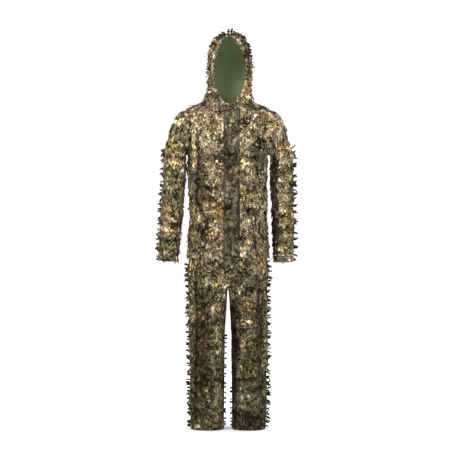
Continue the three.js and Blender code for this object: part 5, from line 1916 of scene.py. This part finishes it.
@dataclass
class Hood:
	"""The hood with its collar, lining, rolled rim and leaves.

	Attributes:
		shop, cut: the workshop, and the hood's sizes.
		quarter, spacing: points in a quarter of each row, and from one row to the next.
		sewing: how its leaves are sewn.
		rim: the rolled rim's half width and half thickness.
		lining_inset: from the hood's cloth to its lining.
		bend: how it folds back from the jacket.
	"""

	shop: Workshop
	cut: HoodCut = HoodCut()
	quarter: int = 24
	spacing: float = 6.0
	sewing: Sewing = Sewing(row_pitch=17.0, pitch=15.0, lift=(4.0, 20.0))
	rim: tuple = (6.0, 4.6)
	lining_inset: float = 6.5
	bend: Bend = Bend("jacket", "hood", (0.0, 0.0, 0.557), (0.0, -0.054, 0.738))

	def surface(self, inset: float = 0.0) -> Cloth:
		"""The whole hood and collar, from the crown down to the neckline."""
		cut = self.cut
		levels = even_levels(cut.at, cut.neck + 0.5, cut.neck + cut.height - 0.4, self.spacing)[::-1]
		cloth = Cloth(even_round(cut.at, levels, self.quarter), closed=True)
		cloth.normals[:2] = (0.0, 0.0, 1.0)
		return cloth.pushed(np.full(cloth.points.shape[:2], -inset)) if inset else cloth

	def folded(self, cloth: Cloth) -> Cloth:
		"""Adds the soft folds of the worn hood."""
		points = cloth.points
		amount = 2.6 * smooth_noise(points, (60, 60, 110), 71)
		amount += 1.6 * creases(points, (40, 44, 60), 72)
		above = points[..., 2] - self.cut.neck - 4 + 0.3 * np.abs(points[..., 1])
		near_neck = np.clip(above / 40, 0, 1)
		near_face = np.clip((self.cut.round_face(points, 8) - 1) * 4, 0.1, 1)
		top = np.clip(np.arange(len(points)) / 4, 0, 1)[:, None]
		return cloth.pushed(amount * near_neck * near_face * top)

	def open_face(self, cloth: Cloth, grow: float) -> Array:
		"""Opens the hood for the face, and trues the opening's edge.

		Args:
			cloth: the hood's surface, whose edge points are moved.
			grow: how much wider the opening is than the face's own.

		Returns:
			Which faces are cloth.
		"""
		ringed = self.cut.round_face(cloth.points, grow)
		gone, edge = opened(ringed)
		share, aside, face_z = 1 / ringed[edge], self.cut.aside, self.cut.face_z
		x, y, z = cloth.points[edge].T
		moved = [aside + (x - aside) * share, y, face_z + (z - face_z) * share]
		cloth.points[edge] = np.stack(moved, -1)
		return ~gone

	def rolled_rim(self, low: float, high: float, count: int) -> Cloth:
		"""The rim round a stretch of the face opening, from angle low to high."""
		cut, (half_width, half_thick) = self.cut, self.rim
		angle = np.linspace(low, high, count)
		rows = []
		gathered = 0.6 * np.sin(angle * 60) + 0.5 * np.sin(angle * 37 + 1)
		for turn in 2 * math.pi * np.arange(12) / 12:
			grow = half_width + half_width * math.cos(turn) * (1 + 0.06 * gathered)
			x, z = cut.face_edge(angle, grow)
			y = cut.front_y(*cut.face_edge(angle, half_width)) + 3.0
			rows.append(np.stack([x, y - (half_thick + 0.5 * gathered) * math.sin(turn), z], -1))
		return turned_out(Cloth(np.stack(rows), looped=True))

	def make(self) -> None:
		"""Builds every piece of the hood."""
		shop, cut = self.shop, self.cut
		hood = self.folded(self.surface())
		keep = self.open_face(hood, 9.0)
		level = hood.points[:, self.quarter, 2]
		split = int(np.argmin(np.abs(level - (cut.neck + cut.collar))))
		pieces = (
			("hood_cloth", slice(0, split + 1), slice(0, split), "hood_shell"),
			("hood_collar_band", slice(split, None), slice(split, None), "hood_collar"),
		)
		row = LeafRow(shop.dyer, shop.stream(80))
		self.sewing.cover(row, hood.band(slice(3, None)), self.may_carry)
		self.fringes(row, hood)
		leaves = shop.leaves("hood_cut_leaves", row)
		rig.replaces(leaves, "hood_leaves")
		self.bend.apply(leaves)
		for name, rows, faces, node in pieces:
			piece = shop.printed(name, hood.band(rows), (node,), keep[faces])
			self.bend.apply(piece)
		self.make_lining()
		self.make_rims()

	def may_carry(self, base: Array) -> Array:
		"""Says where the hood's leaves may be sewn: outside the rim."""
		return self.cut.round_face(base, 16.0) > 1

	def frame_face(
		self, row: LeafRow, grow: float, inwards: float, pitch: float, reach: tuple, dark: float,
		turns: tuple,
	) -> None:
		"""Sews leaves along the face opening.

		Args:
			row: where the leaves are gathered.
			grow: how far outside the opening's edge they are sewn.
			inwards: how far they point into the opening, or out of it where it is negative.
			pitch: from one leaf to the next.
			reach: shortest and longest leaf.
			dark: how strong their dye is.
			turns: where they start and end round the opening. 0 is its top.
		"""
		angle, draw = np.linspace(*turns, 90), row.stream
		x, z = self.cut.face_edge(angle, grow)
		line = np.stack([x, self.cut.front_y(x, z) - 2.5, z], -1)
		out = np.stack([-inwards * np.sin(angle), -0.32 + 0 * angle, -inwards * np.cos(angle)], -1)
		run = run_of(line)
		places = np.arange(0, run[-1], pitch)
		places = np.clip(places + draw.uniform(-0.4, 0.4, len(places)) * pitch, 0, run[-1])
		base, axis = read_at(places, run, line), read_at(places, run, out)
		axis = axis + draw.uniform(-0.5, 0.5, axis.shape) * np.array([1.0, 0.2, 1.0])
		up = np.array([0.0, -1.0, 0.0]) + 0.3 * draw.uniform(-1, 1, axis.shape)
		size = [draw.uniform(*sizes, len(base)) for sizes in (reach, (11.0, 18.0))]
		row.sew(base, axis, up, np.stack(size, -1), dark)

	def fringes(self, row: LeafRow, hood: Cloth) -> None:
		"""Sews the leaves that frame the face and those that stand out round the hood."""
		chin = (2.2, 2 * math.pi - 2.2)
		self.frame_face(row, 13.0, 0.9, 7.0, (14.0, 21.0), 0.75, (-2.6, 2.6))
		self.frame_face(row, 13.0, -0.9, 12.0, (20.0, 30.0), 0.7, (-2.2, 2.2))
		self.frame_face(row, 9.0, -0.9, 6.0, (24.0, 36.0), 0.75, chin)
		self.frame_face(row, 13.0, -0.9, 6.0, (24.0, 36.0), 0.85, chin)
		left, right = self.quarter, 3 * self.quarter
		rows = slice(3, int(0.8 * len(hood.points)))
		for shift, dark in ((0, 0.42), (-3, 0.55), (3, 0.55)):
			for column in (left + shift, right - shift):
				outward = hood.normals[rows, column] + np.array([0, 0, 0.25])
				fringe(row, hood.points[rows, column], outward, 17.0, (10.0, 18.0), dark)
		crown, outward = (
			np.concatenate([p[12:3:-1, right], p[3:13, left]]) for p in (hood.points, hood.normals)
		)
		fringe(row, crown, outward + np.array([0, 0, 0.3]), 46.0, (7.0, 11.0), 0.4)

	def make_lining(self) -> None:
		"""Builds the plain green lining, whose green is painted lighter than its own: painted light inside the shaded
		hood.
		"""
		shop = self.shop
		lining = self.surface(self.lining_inset)
		amount = 1.2 * smooth_noise(lining.points, (70, 70, 160), 75)
		lining = lining.pushed(amount * np.clip(np.arange(len(amount)) / 4, 0, 1)[:, None])
		keep = self.open_face(lining, 7.0)
		piece = lay_down("hood_lining_cloth", lining, shop.dyer, keep, 0.8)
		shop.dress(piece, "lining", "lining", slot="lining")
		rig.replaces(piece, "hood_lining")
		self.bend.apply(piece)
		low, high = round(0.75 * self.quarter), round(3.25 * self.quarter)
		edge = lining.points[-1, low:high]
		drop = np.linspace(-1, 56, 9)[:, None, None] * np.array([0.0, 0.0, -1.0])
		facing = Cloth(edge[None] + drop)
		piece = lay_down("neck_facing", facing, shop.dyer, thickness=0.8)
		shop.dress(piece, "lining", "lining", slot="lining")
		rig.ride(piece, "jacket")
		declare(piece, facing, ["jacket_back_panel"], "hung")

	def make_rims(self) -> None:
		"""Builds the rolled rim round the face, and its part at the chin."""
		shop, cut = self.shop, self.cut
		split = math.acos((cut.neck + cut.collar - 30 - cut.face_z) / cut.face_half_height)
		for name, low, high, count, node in (
			("hood_rolled_rim", -split, split, 220, "hood_rim"),
			("chin_rolled_rim", split, 2 * math.pi - split, 80, "chin_rim"),
		):
			rim = self.rolled_rim(low, high, count)
			piece = lay_down(name, rim, shop.dyer, thickness=0.0)
			shop.dress(piece, "print", slot="printed_cloth")
			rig.replaces(piece, node)
			self.bend.apply(piece)


# ---- trousers
@dataclass(frozen=True)
class TrouserCut:
	"""The trousers: a seat over two legs.

	Attributes:
		inseam, waist: heights of the crotch and of the waistband's top.
		band, hem: heights of the waistband and of each hem's band.
		leg_middle, leg_gap: from the suit's middle to each leg's, and between the legs.
		thigh, ankle: half width and half depth of a leg at the crotch and at the hem.
		half_widths, half_depths: half the seat's width and depth at each height.
		curve, parted: heights over which the centre seam turns under and the legs part.
		drawn_in, thigh_from: how far the thighs reach into the gap, and from which height.
		roundness: how square a leg's section is.
	"""

	inseam: float = 600.0
	waist: float = 890.0
	band: float = 35.0
	hem: float = 32.0
	leg_middle: float = 91.0
	leg_gap: float = 24.0
	thigh: tuple = (79.0, 95.0)
	ankle: tuple = (73.0, 86.0)
	half_widths: tuple = ((600, 170), (690, 176), (720, 174), (755, 170), (855, 154), (890, 150))
	half_depths: tuple = ((600, 95), (690, 104), (720, 99), (755, 92), (855, 90), (890, 88))
	curve: float = 120.0
	parted: float = 14.0
	drawn_in: float = 9.0
	thigh_from: float = 420.0
	roundness: float = 2.3

	def seat(self, side: Side, z: Array, angle: Array) -> Array:
		"""Points of one half of the seat. Angle 0 is the middle of the thigh's front."""
		width, depth = eased(self.half_widths, z), eased(self.half_depths, z)
		share = 1 - np.clip((z - self.inseam) / self.curve, 0, 1)
		seam = np.maximum(depth * np.sqrt(np.clip(1 - share * share, 0, 1)), 1)
		least = self.leg_gap / 2 - self.drawn_in
		gap = np.interp(z, [self.inseam, self.inseam + self.parted], [least, 0.0])
		rounded = np.interp(z, [self.inseam, self.inseam + self.curve], [self.roundness, 2.0])
		sine = power(np.sin(angle), 2 / rounded)
		cosine = np.abs(power(np.cos(angle), 2 / rounded))
		x = self.leg_middle + sine * np.where(sine < 0, self.leg_middle - gap, width - self.leg_middle)
		reach = np.where(sine < 0, seam + (depth - seam) * cosine, depth * cosine)
		y = np.where(angle > QUARTER, reach, -reach)
		return np.stack([side.value * x, y, z + 0 * x], -1)

	def leg(self, side: Side, z: Array, angle: Array) -> Array:
		"""Points of one leg. Angle 0 is the middle of its front and a quarter turn its outside."""
		share = 1 - z / self.inseam
		half, depth = (a + (b - a) * share for a, b in zip(self.thigh, self.ankle))
		sine = power(np.sin(angle), 2 / self.roundness)
		up = (z - self.thigh_from) / (self.inseam - self.thigh_from)
		drawn = self.drawn_in * np.clip(up, 0, 1)
		x = self.leg_middle + sine * np.where(sine < 0, half + drawn, half)
		y = -depth * power(np.cos(angle), 2 / self.roundness)
		return np.stack([side.value * x, y, z + 0 * x], -1)


@dataclass
class TrouserLeg:
	"""One trouser leg with its leaves and its hem.

	Attributes:
		shop, side, cut: the workshop, which leg, and the trousers' sizes.
		quarter, spacing: points in a quarter of each row, and from one row to the next.
		split: height at which the thigh's cloth meets the knee's.
		sewing: how its leaves are sewn.
	"""

	shop: Workshop
	side: Side
	cut: TrouserCut = TrouserCut()
	quarter: int = 20
	spacing: float = 7.0
	split: float = 462.0
	sewing: Sewing = Sewing()

	def folds(self, points: Array) -> Array:
		"""How far the worn leg stands out in folds."""
		z = points[..., 2]
		seed = 90 + self.side.value
		hanging = 3.4 * smooth_noise(points, (40, 44, 240), seed)
		knee = 3.6 * creases(points, (90, 90, 40), seed + 3) * fade(z - 330, 120)
		stacked = 3.2 * creases(points, (110, 110, 30), seed + 5) * fade(z - 50, 90)
		drag = 2.0 * creases(points, (60, 60, 80), seed + 7)
		return hanging + knee + stacked + drag

	def surface(self) -> Cloth:
		"""The leg above its hem, from the crotch down."""
		cut = self.cut
		rows = round((cut.inseam - cut.hem) / self.spacing)
		levels = np.linspace(cut.inseam, cut.hem - 2, rows + 1)
		points = even_round(lambda z, a: cut.leg(self.side, z, a), levels, self.quarter)
		smooth = Cloth(points, closed=True)
		ends = np.clip(np.minimum(cut.inseam - levels, levels - cut.hem + 4) / 30, 0, 1)
		inner = fade((points[..., 0] - self.side.value * 14), 24)
		return smooth.pushed(self.folds(points) * ends[:, None] * (1 - 0.75 * inner))

	def bends(self) -> tuple:
		"""How the leg bends at the hip and at the knee."""
		x, label = self.side.value * self.cut.leg_middle * MM, self.side.label
		hip = Bend("trousers", f"upper_leg_{label}", (x, 0, -0.290), (x, 0, -0.400))
		knee = Bend(f"upper_leg_{label}", f"lower_leg_{label}", (x, 0, -0.445), (x, 0, -0.675))
		return hip, knee

	def make(self) -> None:
		"""Builds both lengths of the leg, their leaves and the hem."""
		shop, label = self.shop, self.side.label
		cloth = self.surface()
		split = int(np.argmin(np.abs(cloth.points[:, 0, 2] - self.split)))
		hip, knee = self.bends()
		parts = (
			("upper", slice(0, split + 1), hip, ("leg_top_", "leg_upper_")),
			("lower", slice(split, None), knee, ("leg_knee_", "leg_lower_")),
		)
		for number, (name, rows, bend, nodes) in enumerate(parts):
			part = cloth.band(rows)
			nodes = tuple(node + label for node in nodes)
			piece = shop.printed(f"leg_{name}_cloth_{label}", part, nodes)
			bend.apply(piece)
			row = LeafRow(shop.dyer, shop.stream(100 + 10 * number + self.side.value))
			self.sewing.cover(row, part, self.may_carry)
			self.strips(row, part)
			leaves = shop.leaves(f"leg_{name}_cut_leaves_{label}", row)
			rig.replaces(leaves, f"leg_{name}_leaves_{label}")
			bend.apply(leaves)
			declare(piece, part, ["trousers_front_panel_" + label], "hung", [leaves])
		self.make_hem()

	def may_carry(self, base: Array) -> Array:
		"""Says where the leg's leaves may be sewn: not close between the legs or at the floor."""
		return (np.abs(base[:, 0]) > 24) & (base[:, 2] > 36)

	def strips(self, row: LeafRow, cloth: Cloth) -> None:
		"""Sews the strips of leaves that stand out along the leg's sides."""
		outer = self.quarter
		for shift, dark, pitch in ((0, 0.34, 26.0), (-1, 0.45, 44.0), (1, 0.4, 44.0)):
			line, outward = cloth.points[:, outer + shift], cloth.normals[:, outer + shift]
			fringe(row, line, outward, pitch, (18.0, 27.0), dark)
		inner = 3 * self.quarter
		low = 430.0 if self.side is Side.RIGHT else 190.0
		rows = cloth.points[:, inner, 2] < low
		if rows.sum() > 3:
			line, outward = cloth.points[rows, inner - 1], cloth.normals[rows, inner - 1]
			fringe(row, line, outward, 22.0, (10.0, 15.0), 0.42)

	def make_hem(self) -> None:
		"""Builds the gathered hem."""
		shop, label, cut = self.shop, self.side.label, self.cut
		levels, quarter = np.linspace(cut.hem, 0.4, 5), 44
		points = even_round(lambda z, a: cut.leg(self.side, z, a), levels, quarter)
		wall = Cloth(points, closed=True)
		hem = channel(wall, gathers(wall.points[2], 19.0, 1.9, 121), 8.3, 0.4)
		names = (f"gathered_trouser_hem_{label}", f"trouser_hem_stitches_{label}")
		shop.gathered(names, f"leg_hem_{label}", f"lower_leg_{label}", hem)
		row = LeafRow(shop.dyer, shop.stream(130 + self.side.value))
		for column, dark, reach in ((quarter, 0.4, (14.0, 20.0)), (3 * quarter, 0.45, (8.0, 12.0))):
			line, outward = wall.points[:4, column], wall.normals[:4, column]
			fringe(row, line, outward, 14.0, reach, dark, turn=0.2)
		shop.leaves(f"trouser_hem_leaves_{label}", row, f"lower_leg_{label}")


@dataclass
class Seat:
	"""The trousers above the crotch, with their gathered waistband.

	Attributes:
		shop, cut: the workshop, and the trousers' sizes.
		columns, spacing: points across each panel, and from one row to the next.
		sewing: how its leaves are sewn.
	"""

	shop: Workshop
	cut: TrouserCut = TrouserCut()
	columns: int = 44
	spacing: float = 6.5
	sewing: Sewing = Sewing()

	def panel(self, side: Side, back: bool) -> Cloth:
		"""One panel, from the waistband down to the crotch."""
		cut = self.cut
		high = np.linspace(cut.waist - cut.band + 2, cut.inseam + 40, 34)
		low = cut.inseam + 40 * np.linspace(1, 0, 14)[1:] ** 1.5
		levels = np.concatenate([high, low])
		start = QUARTER if back else -QUARTER
		fine = np.linspace(start + 1e-4 * back, start + math.pi, 181)
		points = cut.seat(side, levels[:, None], fine[None, :])
		share = np.linspace(0, 1, self.columns + 1)
		smooth = Cloth(cut.seat(side, levels[:, None], spread(points, fine, share)))
		folds = 2.4 * smooth_noise(smooth.points, (60, 60, 190), 141)
		folds += 2.0 * creases(smooth.points, (80, 80, 50), 142) - 2.5
		ends = np.minimum(share, 1 - share) * 9
		rows = np.minimum(np.arange(len(levels))[::-1] / 5, 1)
		return smooth.pushed(folds * np.clip(ends, 0, 1) * rows[:, None])

	def make(self) -> None:
		"""Builds the four panels with their leaves, and the waistband."""
		shop = self.shop
		for side, back in itertools.product(Side, (False, True)):
			where = "back" if back else "front"
			panel = self.panel(side, back)
			nodes = (f"trousers_{where}_{side.label}",)
			piece = shop.printed(f"trousers_{where}_panel_{side.label}", panel, nodes)
			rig.ride(piece, "trousers")
			row = LeafRow(shop.dyer, shop.stream(150 + side.value + 4 * back))
			self.sewing.cover(row, panel, self.may_carry, 0.8)
			column = 0 if back else -1
			low = panel.points[:, column, 2] < 738
			line, outward = panel.points[low, column], panel.normals[low, column]
			fringe(row, line, outward, 26.0, (17.0, 25.0), 0.45)
			leaves = shop.leaves(f"trousers_{where}_leaves_{side.label}", row, "trousers")
			declare(piece, panel, ["trousers_waistband"], "hung", [leaves])
		self.make_waistband()

	def may_carry(self, base: Array) -> Array:
		"""Says where leaves may be sewn: below the jacket's hem, off the crotch."""
		x, _, z = base.T
		return (z < 742) & ((np.abs(x) > 16) | (z > 640))

	def make_waistband(self) -> None:
		"""Builds the gathered waistband."""
		shop, cut = self.shop, self.cut
		levels = np.linspace(cut.waist, cut.waist - cut.band, 5)
		angle = np.linspace(-QUARTER, 3 * QUARTER, 170)[1:-1]
		angle[-1] -= 1e-4
		left = cut.seat(Side.LEFT, levels[:, None], angle[None, :])
		right = cut.seat(Side.RIGHT, levels[:, None], angle[None, ::-1])
		wall = Cloth(np.concatenate([left, right], axis=1), closed=True)
		band = channel(wall, gathers(wall.points[2], 15.0, 1.7, 151), 8.3, 0.5)
		names = ("trousers_waistband", "waistband_stitches")
		shop.gathered(names, "waistband", "trousers", band, sewn_at=5)


# ---- zip and small parts
@dataclass
class Zip:
	"""The zip: moulded teeth on woven tapes, with a lacquered slider and pull.

	Attributes:
		shop: the workshop.
		pitch, width: from one tooth to the next, and a tooth's width.
		bevel: how round the metal's edges are.
	"""

	shop: Workshop
	pitch: float = 2.6
	width: float = 2.6
	bevel: float = 0.35

	def teeth(self, side: Side) -> Piece:
		"""Builds one row of teeth where its plain strip is."""
		origin, thick = np.array([0.0, 0.0, WAIST_HEIGHT]), 3.0
		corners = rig.box(f"zip_teeth_{side.label}")
		low, high = (np.array(corner) / MM + origin for corner in corners)
		x = (low[0] + high[0]) / 2
		bottom = np.array([x, low[1] + thick / 2, low[2]])
		top = np.array([x, high[1] - thick / 2, high[2]])
		count = int(np.linalg.norm(top - bottom) / self.pitch)
		share = (np.arange(count) + (0.25 if side is Side.LEFT else 0.75)) / count
		middle = bottom + (top - bottom) * share[:, None]
		up = unit(top - bottom)
		back = np.cross(np.array([1.0, 0, 0]), up)
		rows = ((-1.0, 0.55), (-0.75, 1.0), (0.0, 1.0), (0.6, 0.95), (1.0, 0.5))
		rounds, points = 8, []
		for place, fat in rows:
			across = np.array([1.0, 0, 0]) * (-side.value * place * self.width / 2)
			for angle in math.pi * (2 * np.arange(rounds) + 1) / rounds:
				tall = up * math.cos(angle) * 0.42 * self.pitch * fat
				deep = back * math.sin(angle) * 0.5 * thick * fat
				points.append(middle + across + tall + deep)
		cap = ((0, 1, 2, 3), (0, 3, 4, 7), (4, 5, 6, 7))
		return small_parts(f"zip_tooth_row_{side.label}", points, rounds, cap)

	def make(self) -> None:
		"""Builds the teeth, and finishes the tapes, the box, the slider and the pull."""
		shop, nodes = self.shop, frame["nodes"]
		for side in Side:
			piece = self.teeth(side)
			shop.dress(piece, "coil", slot="zip_plastic")
			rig.replaces(piece, f"zip_teeth_{side.label}")
			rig.ride(piece, "jacket")
		finishes = {
			"zip_tape_left": "tape", "zip_tape_right": "tape", "zip_retainer_box": "coil",
			"zip_slider": "lacquer", "zip_pull": "lacquer", "hang_loop": "lining",
		}
		for node, finish in finishes.items():
			shop.dress(nodes[node], finish)
			if finish != "tape":
				rounding = nodes[node].modifiers.new("rounding", "BEVEL")
				rounding.width = self.bevel * MM
				rounding.segments = 3


@dataclass
class Elastics:
	"""The ribbed elastics inside the gathered bands, dressed in the workshop."""

	shop: Workshop

	def make(self) -> None:
		"""Finishes each elastic as ribbed webbing."""
		for name, node in frame["nodes"].items():
			if "elastic" in name:
				self.shop.dress(node, "webbing")


# ---- studio
@dataclass
class Studio:
	"""A plain pale floor, soft light and the camera.

	Attributes:
		distance: from the camera to the suit, in metres.
		covers: how much of the suit's plane the picture takes in.
		aim: what the camera looks at.
		key, fill, rim: power of the main light, of the second, and of the one behind.
		ambient: strength of the light from all round.
	"""

	distance: float = 7.0
	covers: float = 2.015
	aim: tuple = (0.0044, 0.0, -0.014)
	key: float = 120.0
	fill: float = 60.0
	rim: float = 60.0
	ambient: float = 1.12

	def make_camera(self) -> None:
		"""Sets up the camera level with the suit's middle."""
		data = bpy.data.cameras.new("camera")
		data.sensor_width = 36.0
		data.lens = data.sensor_width * self.distance / self.covers
		data.clip_end = 100.0
		camera = bpy.data.objects.new("camera", data)
		camera.location = Vector(self.aim) + Vector((0, -self.distance, 0))
		camera.rotation_euler = (QUARTER, 0, 0)
		bpy.context.scene.collection.objects.link(camera)
		bpy.context.scene.camera = camera

	def lamp(self, name: str, place: tuple, size: float, watts: float) -> None:
		"""Adds a soft square light that faces the suit."""
		data = bpy.data.lights.new(name, "AREA")
		data.energy, data.size = watts, size
		light = bpy.data.objects.new(name, data)
		light.location = place
		towards = Vector((0, 0, 0.1)) - Vector(place)
		light.rotation_euler = towards.to_track_quat("-Z", "Y").to_euler()
		bpy.context.scene.collection.objects.link(light)

	def make(self) -> None:
		"""Lays the floor and lights the suit."""
		self.lamp("key_light", (-2.6, -3.6, 2.9), 2.2, self.key)
		self.lamp("fill_light", (3.4, -3.4, 0.8), 3.0, self.fill)
		self.lamp("rim_light", (0.6, 2.6, 3.0), 2.4, self.rim)
		floor_z = float(cad_low.z) / MM + WAIST_HEIGHT - 1.0
		half = 40000.0
		corners = np.array([[-half, -half], [half, -half], [half, half], [-half, half]])
		points = np.column_stack([corners, np.full(4, floor_z)])
		floor = new_piece("studio_floor", points, np.array([[0, 1, 2, 3]]))
		wiring = Wiring("pale_floor")
		grain = wiring.noise(wiring.add("TexCoord").outputs["Object"], 3.0, 2.0)
		tone = wiring.ramp(grain, ((0.0, 0.955), (1.0, 0.965)))
		floor.data.materials.append(wiring.finish(tone, 0.95))
		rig.stage(floor)
		world = bpy.data.worlds.new("soft_light")
		world.use_nodes = True
		background = world.node_tree.nodes["Background"]
		background.inputs["Color"].default_value = (1.0, 1.0, 1.0, 1.0)
		background.inputs["Strength"].default_value = self.ambient
		bpy.context.scene.world = world
		bpy.context.scene.view_settings.view_transform = "Standard"


def main() -> None:
	"""Makes the suit, sub-assembly by sub-assembly."""
	studio = Studio()
	studio.make_camera()
	studio.make()
	shop = Workshop()
	shop.mix_finishes()
	Seat(shop).make()
	for side in Side:
		TrouserLeg(shop, side).make()
	Hood(shop).make()
	Jacket(shop).make()
	StormFlap(shop).make()
	Sleeve(shop, Side.LEFT, lean=1.0).make()
	Sleeve(shop, Side.RIGHT, lean=4.5, drawn_in=8.0).make()
	Zip(shop).make()
	Elastics(shop).make()
	low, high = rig.bounds()
	with open(SIZE_FILE, "w", encoding="utf-8") as file:
		json.dump({"cad": [list(cad_low), list(cad_high)], "visual": [list(low), list(high)]}, file)


if __name__ == "__main__":
	logging.basicConfig(level=logging.INFO, format="%(message)s")
	main()
